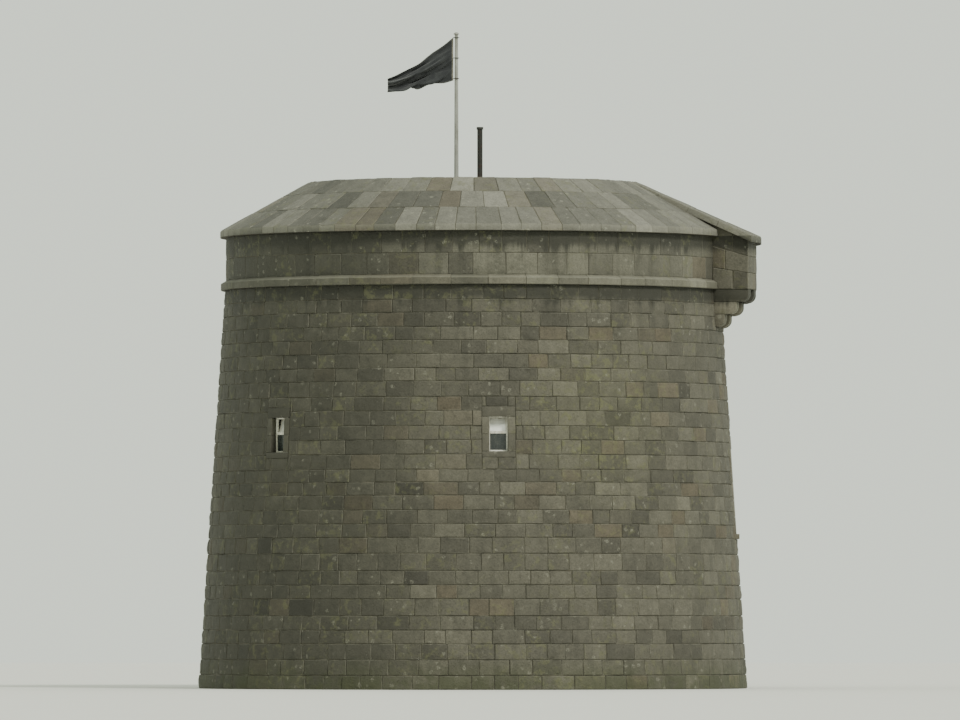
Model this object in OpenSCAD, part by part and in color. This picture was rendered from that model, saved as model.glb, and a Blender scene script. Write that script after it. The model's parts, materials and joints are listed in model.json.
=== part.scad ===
// Martello tower: a squat round gun tower of granite with battered walls, a bomb-proof vault,
// a parapet with a sloping top and a box over the first-floor door.
// Millimetres, +Z up. The origin is on the tower's axis at ground level and the door faces +X.

/* [Overall] */
// Diameter of the tower where it meets the ground
base_d = 13200; // [12600:100:16000]
// Height from the ground to the underside of the string course
wall_h = 9600; // [9200:100:11600]
// How far the outer face leans in for each metre of height
batter = 66; // [30:2:80]

/* [Inside] */
// Diameter of the first-floor room
room_d = 7900; // [6800:50:8400]
// Width of the ledge that carries the first-floor joists
joist_ledge = 150; // [100:10:250]
// Height of the first floor above the ground
floor_z = 3600; // [3200:50:3900]
// Thickness of the floor boards
board_t = 60; // [40:5:80]
// Depth of a floor joist
joist_h = 290; // [200:10:320]
// Width of a floor joist
joist_w = 130; // [80:5:180]
// Spacing of the floor joists
joist_pitch = 800; // [600:20:1100]
// Thickness of the flagstones on the ground
flag_t = 200; // [120:10:300]
// Rise of the vault over the first-floor room
vault_rise = 2100; // [1700:50:2300]
// Thickness of the vault at its crown
crown_t = 830; // [600:10:900]
// Width of the seat that the vault springs from
vault_seat = 300; // [200:10:400]

/* [String course] */
// Height of the string course
string_h = 230; // [150:10:300]
// How far the string course stands out from the wall
string_out = 110; // [60:5:160]
// Height of the sloped top of the string course
string_wash = 70; // [30:5:100]

/* [Parapet] */
// Height of the upright outer face of the parapet
parapet_h = 1040; // [800:10:1200]
// Height of the lip at the eave
lip_h = 150; // [100:10:220]
// How far the lip stands out
lip_out = 150; // [80:5:200]
// Rise of the sloping top from the lip to the crest
slope_rise = 1180; // [1000:10:1700]
// Inner diameter of the parapet
well_d = 7940; // [6800:20:8400]

/* [Gun platform] */
// Thickness of the paving of the gun platform
paving_t = 220; // [120:10:300]
// Width of the firing step inside the parapet
step_w = 900; // [600:20:1100]
// Height of the firing step
step_h = 300; // [200:10:400]

/* [Machicolation] */
// Half of the angle that the machicolation covers
mach_a = 15; // [13:1:18]
// How far its front stands out from the parapet
mach_out = 889; // [700:1:1100]
// Thickness of its front wall
mach_front_t = 350; // [250:10:420]
// Angle that each side wall covers
cheek_a = 3; // [2:0.5:4]
// Angle by which its roof passes the side walls
mach_eave_a = 1.5; // [0.5:0.5:2]
// How much lower the eave of its roof lies than the lip of the parapet
mach_fall = 150; // [0:10:200]
// Number of corbels under it
corbels = 5; // [3:1:5]
// Width of a corbel
corbel_w = 320; // [240:10:360]
// Height of each of the three tiers of a corbel
tier_h = 300; // [240:10:340]
// Radius of the rounded nose of a tier
nose_r = 180; // [120:10:220]
// Width of the passage to it through the parapet
passage_w = 900; // [700:20:1100]

/* [Door] */
// Clear width of the doorway
door_w = 1050; // [900:10:1300]
// Clear height of the doorway
door_h = 2050; // [1900:10:2100]
// Width of the dressed stones beside the doorway
door_jamb_w = 280; // [200:10:340]
// Height of the lintel
door_lintel_h = 320; // [240:10:400]
// Depth of the dressed stones, measured from the wall's outer face
door_stone_t = 450; // [350:10:600]
// Height of the sill stone
door_sill_h = 120; // [90:5:180]
// How far the sill stone stands out
door_sill_out = 65; // [40:5:100]
// Overlap of the door leaf behind the dressed stones
door_rebate = 60; // [30:5:90]
// Thickness of the door leaf
leaf_t = 75; // [50:5:100]

/* [Windows] */
// Clear width of a window
win_w = 450; // [360:10:600]
// Clear height of a window
win_h = 820; // [700:10:900]
// Height of the window sills above the first floor
win_sill_h = 2040; // [1500:20:2100]
// Direction of the front window, counted from the door
win_front_a = -84.3; // [-100:0.1:-80]
// Direction of the left window, counted from the door
win_left_a = -138.4; // [-145:0.1:-125]
// Width of the dressed stones beside a window
win_jamb_w = 170; // [120:5:220]
// Height of a window lintel
win_lintel_h = 240; // [160:10:280]
// Height of a window sill stone
win_sill_t = 140; // [100:5:180]
// Depth of the dressed stones of a window
win_stone_t = 160; // [130:10:400]
// Width of the splayed opening at the inner face of the wall
win_splay_w = 1100; // [700:20:1300]
// Thickness of the window frame
frame_t = 60; // [45:5:80]
// Width of a bar of the window frame
bar_w = 60; // [45:5:70]
// Height of the lower pane
pane_h = 390; // [300:10:420]
// Thickness of the glass
glass_t = 8; // [6:1:12]
// Thickness of the tilted upper light
hopper_t = 36; // [30:1:45]
// Width of a bar of the tilted upper light
hopper_bar = 38; // [30:1:50]
// How far the upper light leans in
hopper_tilt = 18; // [10:1:24]

/* [Flagpole] */
// Distance of the flagpole to the left of the tower's axis
pole_x = 400; // [300:10:800]
// Height of the flagpole above the gun platform
pole_h = 5750; // [4000:50:6500]
// Diameter of the flagpole at its foot
pole_d = 125; // [90:5:160]
// Diameter of the flagpole at its top
pole_top_d = 80; // [60:5:85]
// Width of the stone that the flagpole stands in
socket_w = 460; // [360:10:560]
// Height of the stone that the flagpole stands in
socket_h = 320; // [200:10:400]
// Running clearance between the flagpole and its stone
socket_gap = 0.3; // [0.2:0.1:1]

/* [Flag] */
// Width of the flag along the flagpole
flag_hoist = 1050; // [800:10:1200]
// Reach of the flag from the flagpole as it hangs
flag_reach = 1620; // [1400:10:1700]
// Depth of the folds of the flag
flag_fold = 300; // [200:10:400]
// Distance of the top of the flag below the top of the flagpole
flag_drop = 40; // [30:5:100]
// Clearance between the flag and what holds it
flag_gap = 0.3; // [0.2:0.1:1]
// Number of ties between the flag and the flagpole
ties = 3; // [2:1:4]
// Thickness of a tie
tie_t = 8; // [6:1:12]

/* [Iron post] */
// Distance of the iron post to the right of the tower's axis
post_x = 170; // [100:10:300]
// Distance of the iron post behind the tower's axis
post_y = 350; // [300:10:600]
// Height of the iron post above the gun platform
post_h = 3530; // [2800:10:4200]
// Diameter of the iron post
post_d = 130; // [100:5:160]
// Diameter of the foot of the iron post
post_foot_d = 360; // [300:10:400]
// Thickness of the foot of the iron post
post_foot_t = 40; // [25:5:60]

/* [Hidden] */
$fn = 256;
// Amount by which a cut passes the face that it opens
over = 20;
// Angle of the length of wall round the door, and of the plain one before it
upper_a = 45;
// Angle of each of the other lengths of the wall and of the parapet
quarter_a = 90;
// Direction of the middle of the length of wall that holds the windows
window_wall_a = -upper_a / 2 - quarter_a;
tiers = 3;

function wall_r(z) = base_d / 2 - batter * z / 1000;

room_r = room_d / 2;
store_r = room_r - joist_ledge;
vault_r = room_r + vault_seat;
well_r = well_d / 2;
joist_z = floor_z - board_t - joist_h;
string_top_z = wall_h + string_h;
crown_z = string_top_z - crown_t;
spring_z = crown_z - vault_rise;
dome_r = (room_r * room_r + vault_rise * vault_rise) / (2 * vault_rise);
parapet_r = wall_r(string_top_z);
lip_r = parapet_r + lip_out;
lip_z = string_top_z + parapet_h;
lip_top_z = lip_z + lip_h;
crest_z = lip_top_z + slope_rise;
platform_z = string_top_z + paving_t;

mach_r = parapet_r + mach_out;
mach_lip_r = mach_r + lip_out - 20;
mach_inner_r = mach_r - mach_front_t;
corbel_a = mach_a - cheek_a / 2;

mach_top_z = lip_top_z - mach_fall;
mach_slope = (crest_z - mach_top_z) / (mach_lip_r - well_r);

function roof_z(r) = crest_z - mach_slope * (r - well_r);
function soffit_z(r) = roof_z(r) - lip_h;
// Radius at which the underside of that roof meets the slope of the parapet
rest_r = well_r + lip_h / (slope_rise / (lip_r - well_r) - mach_slope);

door_back_x = wall_r(floor_z) - door_stone_t;
door_z = floor_z + door_sill_h;
door_head_z = door_z + door_h;
door_stone_w = door_w + 2 * door_jamb_w;
door_split_z = door_head_z + door_rebate + over;
leaf_w = door_w + 2 * door_rebate;
hall_w = leaf_w + 4 * over;

win_z = floor_z + win_sill_h;
win_back_x = wall_r(win_z) - win_stone_t;
win_foot_z = win_z - bar_w / 2;
win_head_z = win_z + win_h + bar_w / 2;
win_hole_w = win_w + bar_w + over;
win_stone_w = win_w + 2 * win_jamb_w;
light_w = win_w - bar_w;
light_h = win_h - pane_h - 2 * bar_w;
hopper_w = win_w;
hopper_h = light_h + bar_w;
hopper_z = win_foot_z + bar_w + pane_h + bar_w / 2;

flag_z = platform_z + pole_h - flag_drop;
flag_x = -pole_x - pole_d / 2 - tie_t - flag_gap;

// An outline of radius and height swept round the tower's axis between two directions
module sector(outline, from, to) {
  rotate([0, 0, from])
    rotate_extrude(angle = to - from)
      polygon(outline);
}

// The outer shape of the tower below the string course, moved outwards by an amount
module battered_drum(out) {
  rotate_extrude()
    polygon([
      [0, 0],
      [wall_r(0) + out, 0],
      [wall_r(wall_h) + out, wall_h],
      [0, wall_h]
    ]);
}

// A block that lies across the X axis, from one distance to another
module bar_across(x1, x2, w, z1, z2) {
  translate([x1, -w / 2, z1])
    cube([x2 - x1, w, z2 - z1]);
}

module ground_floor() {
  color("#77746a")
    cylinder(r = store_r, h = flag_t);
}

module lower_wall(middle) {
  color("#8b8878")
    sector([
      [store_r, 0],
      [wall_r(0), 0],
      [wall_r(floor_z), floor_z],
      [room_r, floor_z],
      [room_r, joist_z],
      [store_r, joist_z]
    ], middle - quarter_a / 2, middle + quarter_a / 2);
}

module first_floor_joists() {
  side = floor((room_r - joist_ledge - joist_w) / joist_pitch);
  color("#5c4a35")
    intersection() {
      cylinder(r = room_r - 5, h = floor_z);
      for (i = [-side : side])
        translate([i * joist_pitch - joist_w / 2, -room_r, joist_z])
          cube([joist_w, room_d, joist_h]);
    }
}

module first_floor() {
  color("#6e5b43")
    translate([0, 0, floor_z - board_t])
      cylinder(r = room_r - 5, h = board_t);
}

// A height of the wall that is as thick as the room allows, and the rest of it up to the string course
function band_outline(z1, z2) = [
  [room_r, z1],
  [wall_r(z1), z1],
  [wall_r(z2), z2],
  [room_r, z2]
];
function upper_outline(z) = [
  [room_r, z],
  [wall_r(z), z],
  [wall_r(wall_h), wall_h],
  [vault_r, wall_h],
  [vault_r, spring_z],
  [room_r, spring_z]
];

module upper_wall(middle, angle) {
  color("#8f8c7b")
    sector(upper_outline(floor_z), middle - angle / 2, middle + angle / 2);
}

// The rebate that takes the dressed stones of the doorway
module door_rebate_cut() {
  bar_across(door_back_x, wall_r(0), door_stone_w, floor_z - over, door_head_z + door_lintel_h);
}

// The length of wall between the doorway and the next length, side -1 on the left from outside
module door_wall(side) {
  color("#8f8c7b")
    difference() {
      sector(
        band_outline(floor_z, door_split_z),
        side < 0 ? -upper_a / 2 : 0, side < 0 ? 0 : upper_a / 2
      );
      bar_across(0, wall_r(0), hall_w, floor_z - over, door_split_z + over);
      door_rebate_cut();
    }
}

module door_wall_over() {
  color("#8f8c7b")
    difference() {
      sector(upper_outline(door_split_z), -upper_a / 2, upper_a / 2);
      door_rebate_cut();
    }
}

// The rebate that takes the dressed stones of a window that faces +X
module window_rebate_cut() {
  bar_across(
    win_back_x, wall_r(0), win_stone_w, win_z - win_sill_t, win_z + win_h + win_lintel_h
  );
}

// The splayed opening behind a window that faces +X, through the whole height of the frame
module window_splay_cut() {
  translate([0, 0, win_foot_z - over])
    linear_extrude(win_head_z - win_foot_z + 2 * over)
      polygon([
        [room_r - over * 5, -win_splay_w / 2],
        [win_back_x - frame_t, -win_hole_w / 2],
        [win_back_x + over, -win_hole_w / 2],
        [win_back_x + over, win_hole_w / 2],
        [win_back_x - frame_t, win_hole_w / 2],
        [room_r - over * 5, win_splay_w / 2]
      ]);
}

// The quarter of the wall that holds both windows, for one outline
module window_quarter(outline) {
  sector(outline, window_wall_a - quarter_a / 2, window_wall_a + quarter_a / 2);
}

module window_wall_under() {
  color("#8f8c7b")
    difference() {
      window_quarter(band_outline(floor_z, win_foot_z));
      at_windows()
        window_rebate_cut();
    }
}

// The three blocks of wall that stand beside and between the windows
module window_wall_middle() {
  color("#8f8c7b")
    difference() {
      window_quarter(band_outline(win_foot_z, win_head_z));
      at_windows() {
        window_rebate_cut();
        window_splay_cut();
      }
    }
}

module window_wall_over() {
  color("#8f8c7b")
    difference() {
      window_quarter(upper_outline(win_head_z));
      at_windows()
        window_rebate_cut();
    }
}

// A shallow dome cut from a thick drum, which the gun platform lies on
module vault() {
  color("#827f71")
    difference() {
      translate([0, 0, spring_z])
        cylinder(r = vault_r, h = string_top_z - spring_z);
      translate([0, 0, crown_z - dome_r])
        sphere(r = dome_r);
    }
}

module string_course() {
  face_r = wall_r(wall_h) + string_out;
  color("#9a9786")
    difference() {
      rotate_extrude()
        polygon([
          [vault_r, wall_h],
          [face_r, wall_h],
          [face_r, string_top_z - string_wash],
          [parapet_r, string_top_z],
          [vault_r, string_top_z]
        ]);
      sector([
        [parapet_r, wall_h - over],
        [face_r + over, wall_h - over],
        [face_r + over, string_top_z + over],
        [parapet_r, string_top_z + over]
      ], -mach_a, mach_a);
    }
}

function parapet_outline() = [
  [well_r, string_top_z],
  [parapet_r, string_top_z],
  [parapet_r, lip_z],
  [lip_r, lip_z],
  [lip_r, lip_top_z],
  [well_r, crest_z]
];

module parapet(from, to) {
  color("#918e7d")
    sector(parapet_outline(), from, to);
}

// The parapet under the roof of the machicolation, on both sides of the passage
module machicolation_haunches() {
  color("#8b8878")
    difference() {
      sector([
        [well_r, string_top_z],
        [parapet_r, string_top_z],
        [parapet_r, soffit_z(parapet_r)],
        [well_r, soffit_z(well_r)]
      ], -mach_a, mach_a);
      bar_across(0, mach_r, passage_w, string_top_z - over, crest_z);
    }
}

// One tier of a corbel: a block whose nose is rounded below
module corbel_tier(x_out, z) {
  nose_x = x_out - nose_r;
  bar_across(wall_r(0) - 3 * tier_h, nose_x, corbel_w, z, z + tier_h);
  bar_across(nose_x, x_out, corbel_w, z + nose_r, z + tier_h);
  intersection() {
    translate([nose_x, 0, z + nose_r])
      rotate([90, 0, 0])
        cylinder(r = nose_r, h = corbel_w, center = true);
    bar_across(nose_x, x_out, corbel_w, z, z + nose_r);
  }
}

module machicolation_corbels() {
  wall_x = wall_r(wall_h);
  color("#96937f")
    difference() {
      for (i = [0 : corbels - 1])
        rotate([0, 0, corbel_a * (2 * i / (corbels - 1) - 1)])
          for (k = [1 : tiers])
            corbel_tier(wall_x + (mach_r - wall_x) * k / tiers, wall_h - (tiers + 1 - k) * tier_h);
      battered_drum(0);
    }
}

module machicolation_front() {
  color("#918e7d")
    sector([
      [mach_inner_r, wall_h],
      [mach_r, wall_h],
      [mach_r, soffit_z(mach_r)],
      [mach_inner_r, soffit_z(mach_inner_r)]
    ], -mach_a, mach_a);
}

module machicolation_cheeks() {
  color("#918e7d")
    for (from = [-mach_a, mach_a - cheek_a])
      sector([
        [parapet_r, wall_h],
        [mach_inner_r, wall_h],
        [mach_inner_r, soffit_z(mach_inner_r)],
        [parapet_r, soffit_z(parapet_r)]
      ], from, from + cheek_a);
}

// The sloping slabs of the machicolation, whose side eaves start where they clear the slope
module machicolation_roof() {
  color("#a3a08f")
    difference() {
      sector([
        [well_r, crest_z],
        [well_r, crest_z - lip_h],
        [mach_lip_r, mach_top_z - lip_h],
        [mach_lip_r, mach_top_z]
      ], -mach_a - mach_eave_a, mach_a + mach_eave_a);
      for (from = [-mach_a - 2 * mach_eave_a, mach_a])
        sector([
          [well_r - over, lip_z],
          [rest_r, lip_z],
          [rest_r, crest_z + over],
          [well_r - over, crest_z + over]
        ], from, from + 2 * mach_eave_a);
    }
}

// The paving, with a tongue through the passage to the machicolation
module gun_platform() {
  color("#7f7c70")
    translate([0, 0, string_top_z]) {
      cylinder(r = well_r, h = paving_t);
      intersection() {
        cylinder(r = parapet_r, h = paving_t);
        bar_across(0, mach_r, passage_w, 0, paving_t);
      }
    }
}

module firing_step() {
  color("#858275")
    difference() {
      rotate_extrude()
        translate([well_r - step_w, platform_z])
          square([step_w, step_h]);
      bar_across(0, well_r + over, passage_w, platform_z - over, platform_z + step_h + over);
    }
}

// Jambs and lintel of the doorway, dressed to stand a little proud of the battered wall
module door_surround() {
  color("#9c9987")
    difference() {
      intersection() {
        bar_across(door_back_x, wall_r(0), door_stone_w, door_z, door_head_z + door_lintel_h);
        battered_drum(30);
      }
      bar_across(door_back_x - over, wall_r(0), door_w, door_z - over, door_head_z);
    }
}

module door_sill() {
  color("#9c9987")
    bar_across(door_back_x, wall_r(floor_z) + door_sill_out, door_stone_w, floor_z, door_z);
}

module door_leaf() {
  color("#3f3a33")
    bar_across(door_back_x - leaf_t, door_back_x, leaf_w, floor_z + 5, door_head_z + door_rebate);
}

// Two strap hinges, a latch plate and a ring handle on the outer face of the door
module door_ironwork() {
  strap_l = door_w - 180;
  strap_h = 70;
  strap_t = 10;
  plate = 150;
  ring_r = 55;
  wire_r = 9;
  color("#2b2b2b")
    translate([door_back_x, 0, door_z]) {
      for (z = [door_h * 0.17, door_h * 0.8])
        translate([0, -door_w / 2 + 10, z])
          cube([strap_t, strap_l, strap_h]);
      translate([0, door_w / 2 - 100 - plate, door_h * 0.48])
        cube([strap_t, plate * 0.7, plate]);
      translate([strap_t + wire_r, door_w / 2 - 100 - plate * 0.65, door_h * 0.48 + plate * 0.3])
        rotate([0, 90, 0])
          rotate_extrude()
            translate([ring_r, 0])
              circle(r = wire_r, $fn = 24);
    }
}

module at_windows() {
  for (direction = [win_front_a, win_left_a])
    rotate([0, 0, direction])
      children();
}

module window_surrounds() {
  color("#a5a290")
    at_windows()
      difference() {
        intersection() {
          bar_across(
            win_back_x, wall_r(0), win_stone_w, win_z - win_sill_t, win_z + win_h + win_lintel_h
          );
          battered_drum(25);
        }
        bar_across(win_back_x - over, wall_r(0), win_w, win_z, win_z + win_h);
      }
}

module window_frames() {
  color("#e4e1d6")
    at_windows()
      difference() {
        bar_across(win_back_x - frame_t, win_back_x, win_w + bar_w, win_foot_z, win_head_z);
        translate([0, 0, win_foot_z + bar_w])
          bar_across(win_back_x - frame_t - over, win_back_x + over, light_w, 0, pane_h);
        translate([0, 0, win_foot_z + 2 * bar_w + pane_h])
          bar_across(win_back_x - frame_t - over, win_back_x + over, light_w, 0, light_h);
      }
}

// Places the upper light, whose foot rests against the back of the window frame
module at_hoppers() {
  at_windows()
    translate([win_back_x - frame_t, 0, hopper_z])
      rotate([0, -hopper_tilt, 0])
        children();
}

module window_hoppers() {
  color("#edeae0")
    at_hoppers()
      difference() {
        bar_across(-hopper_t, 0, hopper_w, 0, hopper_h);
        bar_across(
          -hopper_t - over, over, hopper_w - 2 * hopper_bar, hopper_bar, hopper_h - hopper_bar
        );
      }
}

module window_glass() {
  pane_x = win_back_x - frame_t / 2;
  pane_z = win_z + bar_w / 2;
  color("#2f3a3c", 0.5) {
    at_windows()
      bar_across(pane_x, pane_x + glass_t, light_w, pane_z, pane_z + pane_h);
    at_hoppers()
      bar_across(
        -hopper_t / 2, -hopper_t / 2 + glass_t, hopper_w - 2 * hopper_bar,
        hopper_bar, hopper_h - hopper_bar
      );
  }
}

module pole_socket() {
  color("#8b8878")
    translate([-pole_x, 0, platform_z])
      difference() {
        translate([-socket_w / 2, -socket_w / 2, 0])
          cube([socket_w, socket_w, socket_h]);
        translate([0, 0, -over])
          cylinder(d = pole_d + 2 * socket_gap, h = socket_h + 2 * over);
      }
}

module flagpole() {
  color("#b9bab4")
    translate([-pole_x, 0, platform_z]) {
      cylinder(d = pole_d, h = socket_h);
      translate([0, 0, socket_h])
        cylinder(d1 = pole_d, d2 = pole_top_d, h = pole_h - socket_h);
    }
}

module pole_truck() {
  color("#b9bab4")
    translate([-pole_x, 0, platform_z + pole_h])
      rotate_extrude()
        polygon([
          [0, 0],
          [pole_top_d * 0.75, 0],
          [pole_top_d * 0.85, 15],
          [pole_top_d * 0.75, 35],
          [pole_top_d * 0.35, 55],
          [0, 60]
        ]);
}

// Collars round the flagpole, each with a bore that follows the pole's taper
module flag_ties() {
  first = 30;
  pitch = (flag_hoist - 2 * first) / (ties - 1);
  color("#3a3b38")
    translate([-pole_x, 0, 0])
      difference() {
        for (i = [0 : ties - 1])
          translate([0, 0, flag_z - first - i * pitch - tie_t])
            cylinder(d = pole_d + 2 * tie_t, h = 2 * tie_t);
        translate([0, 0, platform_z + socket_h])
          cylinder(d1 = pole_d, d2 = pole_top_d, h = pole_h - socket_h);
      }
}

// The space that the drooping flag fills: its upper edge sags in a curve to the fly end
module flag() {
  tip_z = -0.95 * flag_hoist;
  tip_h = 0.2 * flag_hoist;
  steps = 8;
  color("#33363a")
    translate([flag_x, flag_fold / 2, flag_z])
      rotate([90, 0, 0])
        linear_extrude(flag_fold)
          polygon(concat(
            [for (i = [0 : steps]) [-flag_reach * i / steps, tip_z * sin(90 * i / steps)]],
            [[-flag_reach, tip_z - tip_h], [0, -flag_hoist - 100]]
          ));
}

module iron_post() {
  cap_h = 60;
  color("#3b3c38")
    translate([post_x, post_y, platform_z]) {
      cylinder(d = post_foot_d, h = post_foot_t);
      cylinder(d = post_d, h = post_h - cap_h);
      translate([0, 0, post_h - cap_h])
        cylinder(d = post_d * 1.25, h = cap_h);
    }
}

ground_floor();
lower_wall(-90);  // lower_wall_front
lower_wall(180);  // lower_wall_left
lower_wall(90);  // lower_wall_back
lower_wall(0);  // lower_wall_door
first_floor_joists();
first_floor();
door_wall(-1);  // door_wall_left
door_wall(1);  // door_wall_right
door_wall_over();
upper_wall(upper_a / 2 + quarter_a / 2, quarter_a);  // upper_wall_back
upper_wall(upper_a / 2 + quarter_a * 1.5, quarter_a);  // upper_wall_left
upper_wall(-upper_a, upper_a);  // upper_wall_front
window_wall_under();
window_wall_middle();
window_wall_over();
vault();
string_course();
parapet(-135, -45);  // parapet_front
parapet(135, 225);  // parapet_left
parapet(45, 135);  // parapet_back
parapet(-quarter_a / 2, -mach_a);  // parapet_door_left
parapet(mach_a, quarter_a / 2);  // parapet_door_right
machicolation_haunches();
machicolation_corbels();
machicolation_front();
machicolation_cheeks();
machicolation_roof();
gun_platform();
firing_step();
door_surround();
door_sill();
door_leaf();
door_ironwork();
window_surrounds();
window_frames();
window_hoppers();
window_glass();
pole_socket();
flagpole();
pole_truck();
flag_ties();
flag();
iron_post();
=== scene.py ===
"""The looks of a round granite gun tower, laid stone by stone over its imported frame.

Metres, +Z up. The tower's axis is at the origin, its door faces +X and the side towards -Y is the
one that the camera sees.
"""

import json
import logging
import math
from collections.abc import Callable, Iterator, Sequence
from contextlib import contextmanager
from dataclasses import dataclass, replace
from enum import Enum

import bpy
import numpy as np
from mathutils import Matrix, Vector

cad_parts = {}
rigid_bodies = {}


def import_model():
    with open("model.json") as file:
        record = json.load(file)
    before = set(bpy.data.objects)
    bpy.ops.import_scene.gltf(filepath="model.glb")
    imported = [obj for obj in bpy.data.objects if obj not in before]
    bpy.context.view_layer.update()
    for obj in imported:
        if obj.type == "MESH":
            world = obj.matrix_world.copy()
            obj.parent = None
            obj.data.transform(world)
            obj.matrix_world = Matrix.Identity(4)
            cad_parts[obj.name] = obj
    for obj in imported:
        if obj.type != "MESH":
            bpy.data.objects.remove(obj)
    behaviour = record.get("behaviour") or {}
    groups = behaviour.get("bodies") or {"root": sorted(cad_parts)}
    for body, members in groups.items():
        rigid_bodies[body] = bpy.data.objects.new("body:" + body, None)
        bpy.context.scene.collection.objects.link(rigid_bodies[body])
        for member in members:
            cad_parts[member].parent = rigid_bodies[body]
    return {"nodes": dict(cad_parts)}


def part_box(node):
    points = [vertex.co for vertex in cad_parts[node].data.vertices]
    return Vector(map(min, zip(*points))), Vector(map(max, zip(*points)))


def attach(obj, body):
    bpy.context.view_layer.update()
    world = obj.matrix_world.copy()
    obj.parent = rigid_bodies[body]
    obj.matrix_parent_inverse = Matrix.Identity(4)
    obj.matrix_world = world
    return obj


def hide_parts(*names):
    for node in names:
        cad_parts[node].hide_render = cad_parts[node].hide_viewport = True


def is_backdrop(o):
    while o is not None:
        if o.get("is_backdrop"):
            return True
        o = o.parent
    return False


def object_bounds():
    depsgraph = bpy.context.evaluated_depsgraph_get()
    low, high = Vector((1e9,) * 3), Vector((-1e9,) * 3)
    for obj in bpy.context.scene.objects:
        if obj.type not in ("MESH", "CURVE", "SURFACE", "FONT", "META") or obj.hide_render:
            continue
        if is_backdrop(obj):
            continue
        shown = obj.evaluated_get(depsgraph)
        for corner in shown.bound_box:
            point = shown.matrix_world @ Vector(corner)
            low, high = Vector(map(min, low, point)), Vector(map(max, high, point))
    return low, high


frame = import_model()

LOG = logging.getLogger("gun_tower")
FULL_TURN = 2 * math.pi
# One seed for each sub-assembly that draws at random
SEEDS = range(11, 17)
# Span of the tones of stones that are cut by hand, of 0 to 1
TONES = (0.25, 0.8)
# Share by which the heights of even courses differ
EVEN = 0.05
# Lengths and shares smaller than this one count as none
NEAR = 0.001
Colour = tuple[float, float, float, float]
Row = tuple[float, float, float, float]
Value = float | tuple[float, ...] | bpy.types.NodeSocket
Layer = tuple[Value, Colour]
Sockets = bpy.types.bpy_prop_collection


class Pick(Enum):
    """What edit mode selects."""

    VERTICES = (True, False, False)
    EDGES = (False, True, False)
    FACES = (False, False, True)


class Facing(Enum):
    """The side of its outline that a surface's stones stand on."""

    OUTWARDS = 1
    INWARDS = -1


def rgb(red: int, green: int, blue: int) -> Colour:
    """Turns a colour as a screen shows it into the linear colour that a shader takes.

    Args:
        red: Red, 0 to 255.
        green: Green, 0 to 255.
        blue: Blue, 0 to 255.

    Returns:
        The linear colour, with full alpha.
    """
    shares = (red / 255, green / 255, blue / 255)
    return (*(((c + 0.055) / 1.055) ** 2.4 if c > 0.04 else c / 12.92 for c in shares), 1.0)


# Modelling by hand


def select_only(*objects: bpy.types.Object) -> None:
    """Deselects everything, then selects these objects and makes the first one active.

    Args:
        objects: The objects to select.
    """
    bpy.ops.object.select_all(action="DESELECT")
    for thing in objects:
        thing.select_set(True)
    bpy.context.view_layer.objects.active = objects[0]


@contextmanager
def editing(thing: bpy.types.Object, pick: Pick, everything: bool = True) -> Iterator[None]:
    """Keeps one object in edit mode for the length of a with block.

    Args:
        thing: The mesh object to edit.
        pick: What is selected in edit mode.
        everything: Whether the whole mesh is selected at the start.

    Yields:
        Nothing, while the object is in edit mode.
    """
    select_only(thing)
    bpy.context.tool_settings.mesh_select_mode = pick.value
    bpy.ops.object.mode_set(mode="EDIT")
    try:
        if everything:
            bpy.ops.mesh.select_all(action="SELECT")
        yield
    finally:
        bpy.ops.object.mode_set(mode="OBJECT")


def corner_points(thing: bpy.types.Object) -> np.ndarray:
    """Reads a mesh's vertices.

    Args:
        thing: The mesh object.

    Returns:
        Their places, one row each.
    """
    points = np.empty(len(thing.data.vertices) * 3)
    thing.data.vertices.foreach_get("co", points)
    return points.reshape(-1, 3)


def move_points(thing: bpy.types.Object, points: np.ndarray) -> None:
    """Puts a mesh's vertices at new places, one row a vertex."""
    thing.data.vertices.foreach_set("co", points.astype(np.float32).ravel())
    thing.data.update()


def mark_edges(thing: bpy.types.Object, wanted: Callable[[np.ndarray], bool]) -> None:
    """Selects the edges of a mesh whose ends pass a test, and nothing else.

    Args:
        thing: The mesh object, in object mode.
        wanted: Takes the two ends of an edge, one row each, and says whether it is selected.
    """
    mesh = thing.data
    points = corner_points(thing)
    for element in (*mesh.vertices, *mesh.edges, *mesh.polygons):
        element.select = False
    for edge in mesh.edges:
        ends = list(edge.vertices)
        if wanted(points[ends]):
            for element in (edge, *(mesh.vertices[end] for end in ends)):
                element.select = True


def settle(thing: bpy.types.Object) -> bpy.types.Object:
    """Moves an object's place, turn and size into its mesh.

    Args:
        thing: The mesh object.

    Returns:
        The same object.
    """
    select_only(thing)
    bpy.ops.object.transform_apply(location=True, rotation=True, scale=True)
    return thing


def added(primitive: Callable[..., set[str]], **settings: object) -> bpy.types.Object:
    """Adds a primitive to be shaped further.

    Args:
        primitive: The operator that adds it.
        settings: The operator's settings.

    Returns:
        The new object, with its place in its mesh.
    """
    bpy.ops.object.select_all(action="DESELECT")
    primitive(**settings)
    return settle(bpy.context.object)


def face_outwards(thing: bpy.types.Object) -> None:
    """Turns every face of a closed mesh outwards."""
    with editing(thing, Pick.FACES):
        bpy.ops.mesh.normals_make_consistent(inside=False)


def apply_modifier(thing: bpy.types.Object, kind: str, **settings: object) -> None:
    """Adds one modifier with its settings and applies it.

    Args:
        thing: The mesh object.
        kind: Blender's name of the modifier's type.
        settings: The modifier's properties and their values.
    """
    select_only(thing)
    modifier = thing.modifiers.new(kind.title(), kind)
    for key, value in settings.items():
        setattr(modifier, key, value)
    bpy.ops.object.modifier_apply(modifier=modifier.name)


def smooth(thing: bpy.types.Object, angle: float = 38) -> None:
    """Shades a mesh smooth, except at edges sharper than an angle in degrees."""
    select_only(thing)
    bpy.ops.object.shade_smooth_by_angle(angle=math.radians(angle))


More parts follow.
